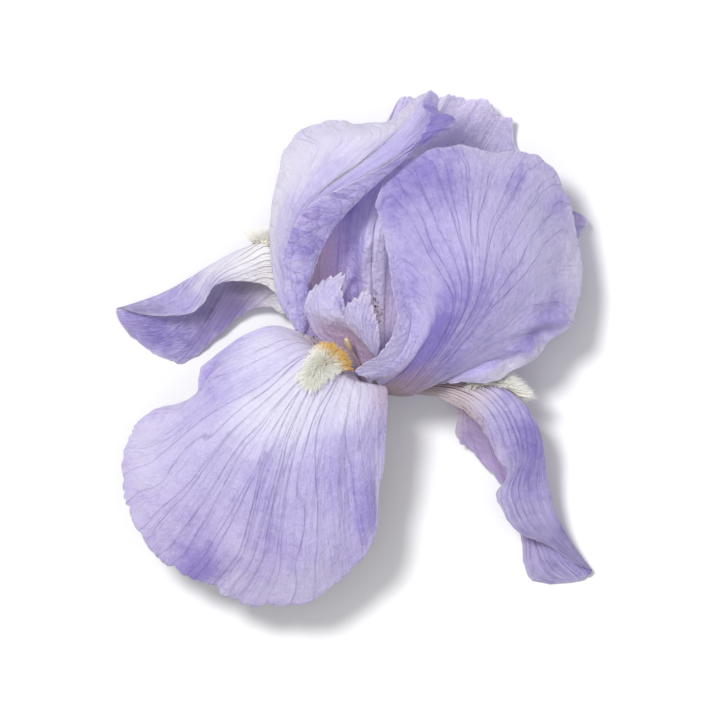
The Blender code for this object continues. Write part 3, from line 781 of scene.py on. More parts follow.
    def veined(self, mix: Recipe, skin: Skin, colour: NodeSocket) -> NodeSocket:
        """Lays the haft's tone, the dried tan, the veins and the netting over a colour.

        Args:
            mix: The recipe that the nodes go into.
            skin: What the material reads.
            colour: The colour below.

        Returns:
            The colour with its veins.
        """
        haft = mix.ease(skin.v, self.haft_end * 0.6, self.haft_end, self.haft_brown, 0.0)
        colour = mix.blend(haft, colour, self.haft)
        tanned = mix.product(mix.reading("tan"), mix.ease(skin.crepe, 0.3, 0.6, 0.5, 1.0))
        colour = mix.blend(mix.math("ADD", tanned, 0.0, clamp=True), colour, self.tan)
        line_colour = mix.blend(haft, self.vein, self.haft_vein)
        fading = mix.ease(skin.v, 0.3, 1.0, 1.0, 0.55)
        strength = mix.product(mix.total(self.vein_strength, mix.product(haft, 0.35)), fading)
        drawn = mix.math("MULTIPLY", mix.product(skin.main, skin.patchy), strength, clamp=True)
        colour = mix.blend(drawn, colour, line_colour)
        thin = mix.product(skin.fine, skin.outer, skin.patchy, 0.36 * self.vein_strength)
        colour = mix.blend(thin, colour, self.vein)
        colour = mix.blend(mix.product(skin.fine, haft, 0.6), colour, self.haft_vein)
        netting = mix.product(self.netting(mix, skin), skin.outer, skin.patchy, self.net)
        return mix.blend(netting, colour, self.vein)

    def netting(self, mix: Recipe, skin: Skin) -> Signal:
        """The fine net between the veins, kept to the side of the petal that shows it."""
        return mix.product(skin.cells, mix.ease(skin.u, self.net_from, self.net_from + 0.15))

    def ribbed(self, mix: Recipe, skin: Skin, colour: NodeSocket) -> NodeSocket:
        """Lays the pale midrib and its groove over a colour, where the petal has one.

        Args:
            mix: The recipe that the nodes go into.
            skin: What the material reads.
            colour: The colour below.

        Returns:
            The colour with its midrib.
        """
        if not self.rib:
            return colour
        from_rib = mix.product(mix.math("ABSOLUTE", mix.total(skin.u, -self.rib_at)), skin.width)
        fade = mix.ease(skin.v, 0.6, 0.95, 1.0, 0.0)
        band = mix.ease(from_rib, 0.3, 1.8, self.rib, 0.0)
        colour = mix.blend(mix.product(band, fade), colour, self.pale)
        groove = mix.ease(mix.math("ABSOLUTE", mix.total(from_rib, -1.0)), 0.0, 0.4, 1.0, 0.0)
        return mix.blend(mix.product(groove, fade, skin.patchy, 0.45), colour, self.vein)

    def flecked(self, mix: Recipe, colour: NodeSocket) -> NodeSocket:
        """Strews dark dried flecks over a colour where the mesh asks for them.

        Args:
            mix: The recipe that the nodes go into.
            colour: The colour below.

        Returns:
            The colour with its flecks.
        """
        dots = mix.ease(mix.noise(mix.place(), FLECK_SCALE, 1.0), 0.56, 0.62)
        spots = mix.product(dots, mix.reading("flecks"))
        return mix.blend(mix.math("ADD", spots, 0.0, clamp=True), colour, self.fleck)

    def height(self, mix: Recipe, skin: Skin) -> Signal:
        """The fine relief: pleats, sunken veins, streaks, fibres and crepe.

        Args:
            mix: The recipe that the nodes go into.
            skin: What the material reads.

        Returns:
            The height of the relief.
        """
        pleat_rows = mix.vector(mix.product(skin.u, self.veins * 4.0), mix.product(skin.v, 7.0))
        pleating = mix.noise(pleat_rows, 1.0, 3.0, 0.6)
        return mix.total(
            mix.product(pleating, skin.outer, 0.9),
            mix.product(skin.main, -0.18),
            mix.product(skin.fine, -0.08),
            mix.product(self.netting(mix, skin), -0.3 * self.net),
            mix.product(skin.streaks, 0.15),
            mix.product(skin.fibres, 0.15),
            skin.crepe,
            mix.product(skin.grain, 0.05),
        )

    def material(self) -> Material:
        """Builds the petal's material from its mesh's own readings.

        Returns:
            The material.
        """
        mix = Recipe(self.name)
        skin = self.skin(mix)
        colour = self.veined(mix, skin, self.tinted(mix, skin))
        colour = self.flecked(mix, self.ribbed(mix, skin, colour))
        mix.relief(self.height(mix, skin), RELIEF_DEPTH)
        mix.set(
            Base_Color=colour,
            Roughness=mix.ease(mix.total(skin.grain, mix.product(skin.main, 0.3)), 0.2, 0.9, 0.45, 0.62),
            Subsurface_Weight=0.8,
            Subsurface_Radius=(1.0, 0.9, 1.1),
            Subsurface_Scale=0.0006,
            Specular_IOR_Level=0.25,
            Sheen_Weight=0.1,
            Sheen_Roughness=0.5,
        )
        return mix.material


@dataclass(frozen=True)
class BeardFinish:
    """Furry hairs, yellow at the throat and white along the petal, with painted shade towards their roots."""

    name: str
    gold_from: float
    gold_to: float
    gold: Colour = srgb(242, 200, 96)
    cream: Colour = srgb(248, 242, 206)
    white: Colour = srgb(254, 254, 248)
    shade: Colour = srgb(246, 242, 230)
    # Painted shade: the colour that the hair roots and the pad go towards.
    root: Colour = srgb(226, 216, 184)

    def material(self) -> Material:
        """Builds the hairs' material from their own readings.

        Returns:
            The material.
        """
        mix = Recipe(self.name)
        along, tip = mix.reading("along"), mix.reading("tip")
        spotty = mix.noise(mix.place(), 900.0, 2.0)
        strand = mix.ease(mix.noise(mix.place(), 1900.0, 1.0), 0.35, 0.65)
        place = mix.total(along, mix.swing(spotty, 0.3))
        body = mix.blend(mix.ease(place, self.gold_from, self.gold_to), self.cream, self.white)
        golden = mix.product(mix.ease(place, self.gold_from, self.gold_to, 1.0, 0.0),
                             mix.ease(tip, -0.2, 0.5))
        colour = mix.blend(golden, mix.blend(mix.product(strand, 0.45), body, self.shade), self.gold)
        # Painted shade: the hairs darken towards their roots, and the pad with them, for the shade among the
        # crowded hairs.
        colour = mix.blend(mix.ease(tip, 0.0, 0.6, 0.5, 0.0), colour, self.root)
        mix.relief(spotty, 0.00006)
        mix.set(
            Base_Color=colour, Roughness=mix.ease(spotty, 0.2, 0.8, 0.45, 0.65),
            Subsurface_Weight=0.0,
            Specular_IOR_Level=0.3, Sheen_Weight=0.2,
        )
        return mix.material


@dataclass(frozen=True)
class StalkFinish:
    """The fleshy surface of the floral tube, or of a filament and its anther."""

    name: str
    base: Colour
    other: Colour
    grain_scale: float = 400.0
    depth: float = 0.0001

    def material(self) -> Material:
        """Builds a mottled, faintly streaked skin.

        Returns:
            The material.
        """
        mix = Recipe(self.name)
        mottle = mix.noise(mix.place(), self.grain_scale * 0.3, 4.0)
        grain = mix.noise(mix.place(), self.grain_scale * 3, 2.0)
        along = mix.reading("along")
        shade = mix.total(mix.product(along, 0.5), mottle)
        colour = mix.blend(mix.ease(shade, 0.35, 0.95), self.base, self.other)
        mix.relief(mix.total(mix.product(mottle, 0.7), mix.product(grain, 0.4)), self.depth)
        mix.set(
            Base_Color=colour, Roughness=mix.ease(grain, 0.2, 0.8, 0.38, 0.58),
            Subsurface_Weight=0.3, Subsurface_Radius=(1.0, 1.0, 0.6), Subsurface_Scale=0.0006,
            Specular_IOR_Level=0.35,
        )
        return mix.material


def object_from(bm: bmesh.types.BMesh, name: str, material: Material) -> Object:
    """Moves a bmesh in millimetres onto the table, in metres, as a smooth object.

    Args:
        bm: The mesh, which is freed.
        name: The object's name.
        material: Its material.

    Returns:
        The new object, at the origin.
    """
    bmesh.ops.translate(bm, verts=bm.verts, vec=Vector(TABLE_SHIFT))
    bmesh.ops.scale(bm, verts=bm.verts, vec=(MM, MM, MM))
    mesh = bpy.data.meshes.new(name)
    bm.to_mesh(mesh)
    bm.free()
    mesh.materials.append(material)
    mesh.shade_smooth()
    obj = bpy.data.objects.new(name, mesh)
    bpy.context.scene.collection.objects.link(obj)
    return obj


def write_readings(obj: Object, readings: dict[str, np.ndarray]) -> None:
    """Stores one number a vertex under each name, for the materials to read.

    Args:
        obj: The piece whose mesh carries them.
        readings: The numbers under each name, in the vertices' order.
    """
    for name, values in readings.items():
        attribute = obj.data.attributes.new(name, "FLOAT", "POINT")
        attribute.data.foreach_set("value", values.ravel().astype(np.float32))


def stand_in(obj: Object, node: str) -> Object:
    """Rides a finished piece on the root body, in its node's place, and hides the node's solid.

    Args:
        obj: The finished piece.
        node: The node of the frame that it stands for.

    Returns:
        The same piece.
    """
    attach(obj, "root")
    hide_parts(node)
    return obj


def set_points(bm: bmesh.types.BMesh, points: np.ndarray) -> None:
    """Moves each vertex of a grid to its point."""
    for vert, point in zip(bm.verts, points.reshape(-1, 3)):
        vert.co = point


def grid(columns: int, lines: int) -> tuple[bmesh.types.BMesh, np.ndarray, np.ndarray]:
    """Makes a flat grid of faces.

    Args:
        columns: Faces across.
        lines: Faces along.

    Returns:
        The mesh, and the u and v of each vertex, of shape (lines + 1, columns + 1).
    """
    bm = bmesh.new()
    bmesh.ops.create_grid(bm, x_segments=columns, y_segments=lines, size=0.5)
    places = np.array([vert.co for vert in bm.verts])
    shape = (lines + 1, columns + 1)
    return bm, (places[:, 0] + 0.5).reshape(shape), (places[:, 1] + 0.5).reshape(shape)


@dataclass
class Petal:
    """One thin petal or style arm of the bloom."""

    name: str
    node: str
    net: Net
    finish: PetalFinish
    habit: Habit
    ruffle: Ruffle
    seed: int
    columns: int = 150
    lines: int = 130
    thickness: float = 0.42
    margin_thickness: float = 0.4
    notch: float = 0.5
    notch_rate: float = 26.0
    scallops: float = 0.0
    teeth: float = 0.0
    pleats: float = 0.16
    wrinkles: float = 0.09
    slot: str = "petal_lavender"
    tones: Tones = field(default_factory=Tones)
    folds: tuple[Swell, ...] = ()
    fan_length: float = 60.0
    strap_width: float = 12.0

    def fringe(self, place: np.ndarray) -> np.ndarray:
        """An uneven wave along the margin, between about 0 and 1."""
        wave = Wobble(self.seed, self.notch_rate * 0.3, self.notch_rate * 2)(place)
        return 0.5 + 0.4 * np.clip(wave, -1.2, 1.2)

    def edge_closeness(self, u: np.ndarray, v: np.ndarray) -> np.ndarray:
        """How near each place is to the free margin, 0 at the heart and 1 at the margin.

        Args:
            u: Place across the petal.
            v: Place along the petal.

        Returns:
            The closeness of each place.
        """
        if self.habit is Habit.FAN:
            return v
        return np.maximum(np.abs(2 * u - 1), smooth_step(0.8, 1.0, v))

    def scalloped(self, u: np.ndarray, v: np.ndarray) -> tuple[np.ndarray, np.ndarray]:
        """Draws the margin back a little, unevenly, so that it is scalloped or toothed.

        Args:
            u: Place across the petal.
            v: Place along the petal.

        Returns:
            The u and v to read the net at.
        """
        if self.habit is Habit.FAN:
            tooth = np.abs(((u * self.notch_rate) % 1.0) * 2 - 1)
            phase = u * self.notch_rate * 1.5 + 1.2 * Wobble(self.seed + 3, 3.0, 9.0)(u)
            cusp = (1 - np.abs(np.sin(np.pi * phase))) ** 2
            back = (self.notch * self.fringe(u) + self.teeth * tooth + self.scallops * cusp) / self.fan_length
            return u, v * (1 - back * smooth_step(0.6, 1.0, v))
        back = self.notch * self.fringe(v) / self.strap_width * smooth_step(0.1, 0.3, v)
        return 0.5 + (u - 0.5) * (1 - back * smooth_step(0.5, 1.0, np.abs(2 * u - 1))), v

    def heights(self, u: np.ndarray, v: np.ndarray) -> np.ndarray:
        """How far each place stands off the smooth net, in millimetres.

        Args:
            u: Place across the petal.
            v: Place along the petal.

        Returns:
            The heights, of the same shape.
        """
        ruffle = self.ruffle
        if self.habit is Habit.FAN:
            swell = smooth_step(0.55, 1.0, v) * smooth_step(0.0, 0.15, u) * smooth_step(0.0, 0.15, 1 - u)
            main = ruffle.depth * swell * np.sin(math.tau * (ruffle.waves * u + ruffle.phase))
            pleat = Wobble(self.seed + 1, 5, 24)(u + 0.01 * np.sin(9 * v)) * smooth_step(0.3, 1.0, v)
        else:
            swell = smooth_step(0.45, 1.0, np.abs(2 * u - 1)) * smooth_step(0.1, 0.4, v)
            main = ruffle.depth * swell * np.sin(math.tau * (ruffle.waves * v + ruffle.phase + 0.3 * u))
            pleat = Wobble(self.seed + 1, 5, 16)(v + 0.12 * u) * smooth_step(0.3, 1.0, np.abs(2 * u - 1))
        ridges = Wobble(self.seed + 2, 7, 40)(u + 0.02 * np.sin(7 * v + 3 * u))
        crumple = ridges * Wobble(self.seed + 3, 2, 12)(v + 0.2 * u) * smooth_step(0.15, 0.6, v)
        folded = sum((fold(u, v) for fold in self.folds), np.zeros_like(u))
        return main + folded + self.pleats * pleat + self.wrinkles * crumple

    def build(self) -> Object:
        """Builds the petal's sheet and its wall, and dresses it.

        Returns:
            The finished petal.
        """
        bm, u, v = grid(self.columns, self.lines)
        read_u, read_v = self.scalloped(u, v)
        points = self.net.read(read_u, read_v)
        points = points + self.heights(u, v)[..., None] * self.net.normal(u, v)
        points[..., 2] = np.maximum(points[..., 2], self.thickness / 2)
        set_points(bm, points)
        self.weigh(bm, u, v)
        obj = object_from(bm, self.name, self.finish.material())
        self.store(obj, u, v, points)
        self.thicken(obj)
        return stand_in(obj, self.node)

    def weigh(self, bm: bmesh.types.BMesh, u: np.ndarray, v: np.ndarray) -> None:
        """Writes the weights that thin the wall towards the margin.

        Args:
            bm: The sheet.
            u: Place across the petal.
            v: Place along the petal.
        """
        weights = bm.verts.layers.deform.new()
        body = 1 - (1 - self.margin_thickness) * smooth_step(0.7, 1.0, self.edge_closeness(u, v))
        for vert, value in zip(bm.verts, body.ravel()):
            vert[weights][0] = float(value)

    def store(self, obj: Object, u: np.ndarray, v: np.ndarray, points: np.ndarray) -> None:
        """Writes what the petal's material reads.

        Args:
            obj: The sheet.
            u: Place across the petal.
            v: Place along the petal.
            points: The sheet's points in millimetres.
        """
        across = np.linalg.norm(np.gradient(points, axis=1), axis=-1) * self.columns
        along = np.linalg.norm(np.gradient(points, axis=0), axis=-1) * self.lines
        if self.habit is Habit.FAN:
            margin = (1 - v) * along
        else:
            margin = np.minimum((0.5 - np.abs(u - 0.5)) * across, (1 - v) * along)
        readings = {"across": u, "along": v, "width": across, "margin": margin}
        for name, swells in vars(self.tones).items():
            readings[name] = sum((swell(u, v) for swell in swells), np.zeros_like(u))
        write_readings(obj, readings)

    def thicken(self, obj: Object) -> None:
        """Gives the sheet its wall, thinner towards the margin, and keeps it off the table.

        Args:
            obj: The sheet, whose wall is applied to its mesh.
        """
        obj.vertex_groups.new(name="body")
        wall = obj.modifiers.new("wall", "SOLIDIFY")
        wall.thickness = self.thickness * MM
        wall.offset = 0.0
        wall.use_even_offset = False
        wall.vertex_group = "body"
        bpy.context.view_layer.update()
        evaluated = obj.evaluated_get(bpy.context.evaluated_depsgraph_get())
        mesh = bpy.data.meshes.new_from_object(evaluated)
        mesh.name = obj.name
        obj.modifiers.clear()
        obj.data = mesh
        bm = bmesh.new()
        bm.from_mesh(mesh)
        for vert in bm.verts:
            vert.co.z = max(vert.co.z, 0.0)
        bmesh.ops.recalc_face_normals(bm, faces=bm.faces)
        if bm.calc_volume(signed=True) < 0:
            bmesh.ops.reverse_faces(bm, faces=bm.faces)
        bm.to_mesh(mesh)
        bm.free()


def tube(path: np.ndarray, radii: np.ndarray, sides: int) -> bmesh.types.BMesh:
    """Makes a round closed tube.

    Args:
        path: Its centre line, of shape (rings, 3).
        radii: Its radius at each ring.
        sides: Faces round it.

    Returns:
        The mesh, whose vertices stand ring after ring.
    """
    bm = bmesh.new()
    ring = bmesh.ops.create_circle(bm, segments=sides, radius=1.0, cap_ends=True)["verts"]
    edges = list(bm.edges)
    spokes = [np.array(vert.co) for vert in ring]
    for index, (centre, radius, forward) in enumerate(zip(path, radii, np.gradient(path, axis=0))):
        if index:
            made = bmesh.ops.extrude_edge_only(bm, edges=edges)["geom"]
            ring = [item for item in made if isinstance(item, bmesh.types.BMVert)]
            edges = [item for item in made if isinstance(item, bmesh.types.BMEdge)]
        turn = np.array(Vector(forward).to_track_quat("Z", "Y").to_matrix())
        for vert, spoke in zip(ring, spokes):
            vert.co = centre + turn @ (spoke * radius)
    bmesh.ops.contextual_create(bm, geom=edges)
    bmesh.ops.recalc_face_normals(bm, faces=bm.faces)
    return bm


@dataclass
class FloralTube:
    """The green floral tube and ovary behind the bloom, cut off short."""

    length: float = 44.0
    radii: tuple[float, ...] = (5.8, 5.2, 3.4, 3.0, 4.6, 5.2, 4.4, 3.6)
    rings: int = 90
    sides: int = 48
    ribs: int = 6
    rib_depth: float = 0.16
    finish: StalkFinish = StalkFinish("tube_skin", srgb(150, 160, 96), srgb(178, 160, 128))

    def build(self) -> Object:
        """Builds the ribbed tube and dresses it.

        Returns:
            The finished tube.
        """
        t = np.linspace(0, 1, self.rings)
        path = HEART - np.outer(t * self.length, AXIS)
        knots = np.array(self.radii)[:, None, None].repeat(3, axis=2)
        radii = spline(knots, t[:, None])[:, 0, 0]
        bm = tube(path, radii, self.sides)
        for index, vert in enumerate(bm.verts):
            turn = math.tau * (index % self.sides) / self.sides
            place = vert.co.copy()
            centre = Vector(path[min(index // self.sides, self.rings - 1)])
            sunk = self.rib_depth * (0.5 - 0.5 * math.cos(self.ribs * turn)) / 3
            vert.co = place + (centre - place) * sunk
        obj = object_from(bm, "floral_tube_skin", self.finish.material())
        write_readings(obj, {"along": t.repeat(self.sides)})
        return stand_in(obj, "floral_tube")


@dataclass
class Stamen:
    """A filament with its long anther, under a style arm."""

    side: str
    filament_radius: float = 0.45
    anther_radius: float = 0.85
    sides: int = 16
    rings: int = 26
    finish: StalkFinish = StalkFinish("anther_skin", srgb(190, 166, 190), srgb(222, 198, 166), 900.0, 0.00008)

    def build(self) -> Object:
        """Builds the filament and anther as one tube and dresses it.

        Returns:
            The finished stamen.
        """
        stem = np.array(turned(STAMEN_PATH, self.side))[:, None, :]
        tip = np.array(turned([ANTHER_TIP], self.side)[0])
        t = np.linspace(0, 1, self.rings)[:, None]
        filament = spline(stem, t)[:, 0, :]
        part = np.linspace(0.04, 1.0, self.rings)[:, None]
        anther = filament[-1] * (1 - part) + tip * part
        swelling = self.anther_radius * np.sin(math.pi * (0.06 + 0.9 * part[:, 0])) ** 0.35
        swelling = swelling * (1 + 0.06 * np.sin(40 * part[:, 0]))
        radii = np.concatenate([np.full(self.rings, self.filament_radius), swelling])
        bm = tube(np.concatenate([filament, anther]), radii, self.sides)
        obj = object_from(bm, f"stamen_{self.side}_fine", self.finish.material())
        write_readings(obj, {"along": np.linspace(0, 1, radii.size).repeat(self.sides)})
        return stand_in(obj, f"stamen_{self.side}")


@dataclass
class Beard:
    """The furry strip on a fall's midrib: a slim pad thick with fine curved hairs."""

    side: str
    net: Net
    start: float
    end: float
    seed: int
    finish: BeardFinish
    facing: float = -1.0
    hairs: int = 900
    half_widths: tuple[float, float] = (3.0, 1.4)
    aside: float = 0.0
    combed: float = 0.0
    pad_lift: float = 0.5
    pad_crown: float = 0.9
    pad_faces: tuple[int, int] = (24, 60)
    lengths: tuple[float, float] = (2.0, 3.8)
    root_radius: float = 0.09
    hair_sides: int = 5
    steps: int = 4
    lean: tuple[float, float] = (-0.7, 1.3)

    def strip(self, across: np.ndarray, along: np.ndarray) -> tuple[np.ndarray, np.ndarray]:
        """The net's u and v at places of the strip, across -1 to 1 and along 0 to 1.

        Args:
            across: Places across the strip, -1 to 1.
            along: Places along the strip, 0 to 1.

        Returns:
            The net's u and v there.
        """
        v = self.start + (self.end - self.start) * along
        first = self.half_widths[0] / self.net.width(self.start)
        final = self.half_widths[1] / self.net.width(self.end)
        return 0.5 + self.aside / self.net.width(self.start) + across * (first + (final - first) * along), v

    def pad(self) -> tuple[bmesh.types.BMesh, np.ndarray]:
        """Makes the low crowned pad that the hairs stand on.

        Returns:
            The pad's mesh, and the place along it of each vertex.
        """
        bm, x, y = grid(*self.pad_faces)
        u, v = self.strip(2 * x - 1, y)
        crown = np.sqrt(np.clip(1 - (2 * x - 1) ** 2, 0, 1)) * np.sqrt(np.clip(1 - (2 * y - 1) ** 6, 0, 1))
        lift = self.pad_lift + self.pad_crown * crown
        points = self.net.read(u, v) + (self.facing * lift)[..., None] * self.net.normal(u, v)
        set_points(bm, points)
        return bm, y.ravel()

    def hair_paths(self) -> tuple[np.ndarray, np.ndarray]:
        """Draws where each hair stands and how it curves over as it rises.

        Returns:
            The hairs' centre lines, of shape (hairs, rings, 3), and their places along the beard.
        """
        draw = np.random.default_rng(self.seed)
        along = (np.arange(self.hairs) + draw.uniform(0, 1, self.hairs)) / self.hairs
        across = draw.uniform(-0.95, 0.95, self.hairs)
        u, v = self.strip(across, 0.02 + 0.96 * along)
        u, v = u[None, :], v[None, :]
        feet = self.net.read(u, v)[0]
        ups = self.net.normal(u, v)[0] * self.facing
        forward = self.net.read(u, np.clip(v + 0.02, 0, 1))[0] - feet
        forward /= np.linalg.norm(forward, axis=1, keepdims=True)
        sideways = self.net.read(np.clip(u + 0.02, 0, 1), v)[0] - feet
        sideways /= np.linalg.norm(sideways, axis=1, keepdims=True)
        crown = np.sqrt(1 - across ** 2)
        lean = self.lean[0] + (self.lean[1] - self.lean[0]) * along + draw.uniform(-0.3, 0.3, self.hairs)
        spread = self.combed + across * 1.1 + draw.uniform(-0.25, 0.25, self.hairs)
        length = draw.uniform(*self.lengths, self.hairs) * (0.75 + 0.25 * crown)
        way = ups + forward * lean[:, None] + sideways * spread[:, None]
        way *= (length / np.linalg.norm(way, axis=1))[:, None]
        carried = forward * draw.uniform(0.1, 0.5, (self.hairs, 1)) - ups * draw.uniform(0.0, 0.25,
                                                                                         (self.hairs, 1))
        bend = carried * length[:, None] * 0.5
        roots = feet + ups * (self.pad_lift * 0.6 + 0.7 * crown)[:, None]
        t = np.linspace(0, 1, self.steps + 1)[None, :, None]
        return roots[:, None] + t * way[:, None] + t * t * bend[:, None], along

    def build(self) -> Object:
        """Builds the pad and its hairs as one piece and dresses it.

        Returns:
            The finished beard.
        """
        bm, pad_along = self.pad()
        paths, along = self.hair_paths()
        t = np.linspace(0, 1, self.steps + 1)
        radii = self.root_radius * (1 - 0.7 * t ** 2)
        hair = bpy.data.meshes.new("hair")
        for path in paths:
            shaft = tube(path, radii, self.hair_sides)
            shaft.to_mesh(hair)
            shaft.free()
            bm.from_mesh(hair)
        bpy.data.meshes.remove(hair)
        obj = object_from(bm, f"beard_{self.side}_fine", self.finish.material())
        write_readings(obj, {
            "along": np.concatenate([pad_along, along.repeat(t.size * self.hair_sides)]),
            "tip": np.concatenate([0 * pad_along, np.tile(t.repeat(self.hair_sides), self.hairs)]),
        })
        return stand_in(obj, f"beard_{self.side}")


@dataclass(frozen=True)
class Lamp:
    """A broad light from far off: strength, softness and lean from upright in degrees."""

    name: str
    strength: float
    softness: float
    lean: float


@dataclass
class Studio:
    """The pale floor, the soft light and the camera that looks straight down."""

    view_width: float = 0.1872
    view_centre: tuple[float, float] = (0.00156, -0.0030)
    camera_height: float = 0.6
    floor_size: float = 6.0
    floor_tone: float = 0.92
    sky_strength: float = 0.33
    key: Lamp = Lamp("key", 1.98, 9.0, 17.0)
    fill: Lamp = Lamp("fill", 0.8, 35.0, 0.0)
    lean_turn: float = 45.0

    def build(self) -> None:
        """Sets up everything that isn't part of the object."""
        self.floor()
        self.sky()
        for lamp in (self.key, self.fill):
            self.light(lamp)
        self.camera()
        bpy.context.scene.view_settings.view_transform = "Standard"

    def floor(self) -> None:
        """A plain pale floor under the bloom."""
        bm = bmesh.new()
        bmesh.ops.create_grid(bm, x_segments=1, y_segments=1, size=self.floor_size / 2)
        mesh = bpy.data.meshes.new("floor")
        bm.to_mesh(mesh)
        bm.free()
        mix = Recipe("floor_paper")
        mix.set(Base_Color=(self.floor_tone,) * 3 + (1.0,), Roughness=0.9, Specular_IOR_Level=0.1)
        mesh.materials.append(mix.material)
        floor = bpy.data.objects.new("floor", mesh)
        bpy.context.scene.collection.objects.link(floor)

    def sky(self) -> None:
        """Even light from all round."""
        world = bpy.data.worlds.new("soft_room")
        world.use_nodes = True
        back = world.node_tree.nodes["Background"]
        back.inputs["Color"].default_value = (1.0, 1.0, 1.0, 1.0)
        back.inputs["Strength"].default_value = self.sky_strength
        bpy.context.scene.world = world

    def light(self, lamp: Lamp) -> None:
        """Hangs one light, leaning to the upper left.

        Args:
            lamp: The light's strength, softness and lean.
        """
        light = bpy.data.lights.new(lamp.name, "SUN")
        light.energy = lamp.strength
        light.angle = math.radians(lamp.softness)
        holder = bpy.data.objects.new(lamp.name, light)
        turn = math.radians(self.lean_turn)
        away = math.tan(math.radians(lamp.lean))
        source = Vector((-math.cos(turn) * away, math.sin(turn) * away, 1.0))
        holder.rotation_euler = source.to_track_quat("Z", "Y").to_euler()
        bpy.context.scene.collection.objects.link(holder)

    def camera(self) -> None:
        """A camera straight over the bloom, with the picture's top towards +Y."""
        lens = bpy.data.cameras.new("camera")
        lens.type = "ORTHO"
        lens.ortho_scale = self.view_width
        camera = bpy.data.objects.new("camera", lens)
        camera.location = (*self.view_centre, self.camera_height)
        bpy.context.scene.collection.objects.link(camera)
        bpy.context.scene.camera = camera


def falls() -> list[Petal]:
    """The three drooping petals.

    Returns:
        The front, the left and the right fall, not built yet.
    """
    return [
        Petal(
            "fall_front_fine", "fall_front", Net(FALL_FRONT),
            PetalFinish("fall_front_skin", veins=15, vein_strength=0.5, haft_brown=0.6, haft_end=0.52,
                        net=0.08, slant=0.1, pale=srgb(228, 225, 245)),
            Habit.FAN, Ruffle(0.7, 5.0, 0.1), 21, columns=270, lines=120, notch=0.7, notch_rate=26,
            scallops=0.4,
            tones=Tones(
                # Deeper rises: those at 0.47, 0.8 and 0.9 across lie in the fold hollows below and are partly
                # painted shade there.
                deep=(Swell(0.9, 0.85, 0.05, 0.14, 0.5), Swell(0.47, 0.99, 0.05, 0.1, 0.7),
                      Swell(0.4, 0.9, 0.06, 0.08, 0.2), Swell(0.05, 0.85, 0.05, 0.12, 0.4),
                      Swell(0.62, 0.85, 0.1, 0.14, 0.2), Swell(0.5, 0.3, 0.5, 0.12, -0.4),
                      Swell(0.8, 0.68, 0.05, 0.1, 0.25)),
                # Paler rises: those at 0.9 along are partly painted light on the bottom, which tilts away
                # from the lamp.
                bleach=(Swell(0.5, 0.5, 0.26, 0.16, 1.1), Swell(0.4, 0.66, 0.16, 0.16, 0.5),
                        Swell(0.85, 0.5, 0.14, 0.12, 0.7), Swell(0.12, 0.55, 0.14, 0.14, 0.7),
                        Swell(0.2, 0.9, 0.14, 0.12, 0.45), Swell(0.97, 0.85, 0.03, 0.15, 0.4),
                        Swell(0.66, 0.9, 0.2, 0.1, 0.3)),
                tan=(Swell(0.1, 0.24, 0.2, 0.06, 0.5), Swell(1.0, 0.36, 0.06, 0.2, 0.5)),
                flush=(Swell(0.97, 0.5, 0.07, 0.1, 0.35), Swell(0.5, 0.86, 0.3, 0.12, 0.12)),
                flecks=(Swell(0.3, 0.28, 0.12, 0.05, 1.2), Swell(0.06, 0.26, 0.12, 0.06, 1.2)),
            ),
            folds=(Swell(0.045, 0.88, 0.014, 0.16, 0.9), Swell(0.47, 0.97, 0.05, 0.1, -1.6),
                   Swell(0.54, 0.97, 0.02, 0.08, 1.0), Swell(0.89, 0.84, 0.03, 0.14, -1.2),
                   Swell(0.8, 0.7, 0.02, 0.16, -0.7), Swell(0.94, 0.9, 0.02, 0.1, 0.9),
                   Swell(0.3, 0.8, 0.02, 0.2, 0.4), Swell(0.62, 0.8, 0.025, 0.2, 0.5)),
        ),
        Petal(
            "fall_left_fine", "fall_left", Net(FALL_LEFT),
            PetalFinish("fall_left_skin", veins=17, vein_strength=0.5, haft_brown=0.8, haft_end=0.52,
                        net=0.05, slant=0.9, ground=srgb(212, 204, 244), pale=srgb(244, 240, 252),
                        haft=srgb(254, 251, 250),
                        # A dark grey flush: painted shade along the blade at about 0.8 across and 0.4 along.
                        flush=srgb(140, 126, 152)),
            Habit.STRAP, Ruffle(0.4, 4.0, 0.2), 31, columns=120, lines=190, notch_rate=16,
            tones=Tones(
                # The deep rise at 0.85 across, 0.45 along, adds to the flush's painted shade there.
                deep=(Swell(0.2, 0.8, 0.3, 0.14, 0.25), Swell(0.85, 0.45, 0.2, 0.2, 0.6),
                      Swell(0.8, 0.85, 0.3, 0.15, 0.5)),
                bleach=(Swell(0.15, 0.36, 0.35, 0.13, 1.8), Swell(0.3, 0.6, 0.3, 0.12, 0.7)),
                tan=(Swell(0.05, 0.26, 0.2, 0.08, 0.45),),
                flecks=(Swell(0.0, 0.3, 0.06, 0.1, 0.7), Swell(0.1, 0.19, 0.12, 0.03, 1.5)),
                flush=(Swell(0.8, 0.4, 0.25, 0.25, 1.0),),
            ),
        ),
        Petal(
            "fall_right_fine", "fall_right", Net(FALL_RIGHT),
            PetalFinish("fall_right_skin", veins=18, vein_strength=0.6, haft_brown=0.9, haft_end=0.45,
                        net=0.05, slant=0.5, haft=srgb(218, 206, 210), haft_vein=srgb(122, 78, 78),
                        tan=srgb(158, 126, 96)),
            Habit.STRAP, Ruffle(0.4, 4.0, 0.6), 41, columns=120, lines=200, notch_rate=18,
            tones=Tones(
                deep=(Swell(0.35, 0.58, 0.3, 0.16, 0.5), Swell(0.5, 0.9, 0.4, 0.1, 0.3),
                      Swell(0.85, 0.5, 0.2, 0.2, 0.4)),
                bleach=(Swell(0.2, 0.26, 0.35, 0.13, 1.4), Swell(0.05, 0.7, 0.1, 0.2, 0.4)),
                tan=(Swell(0.3, 0.1, 0.6, 0.08, 0.9), Swell(0.0, 0.36, 0.08, 0.08, 0.5)),
                flecks=(Swell(0.0, 0.36, 0.1, 0.14, 0.4),),
                flush=(Swell(0.85, 0.5, 0.2, 0.3, 0.6),),
            ),
        ),
    ]


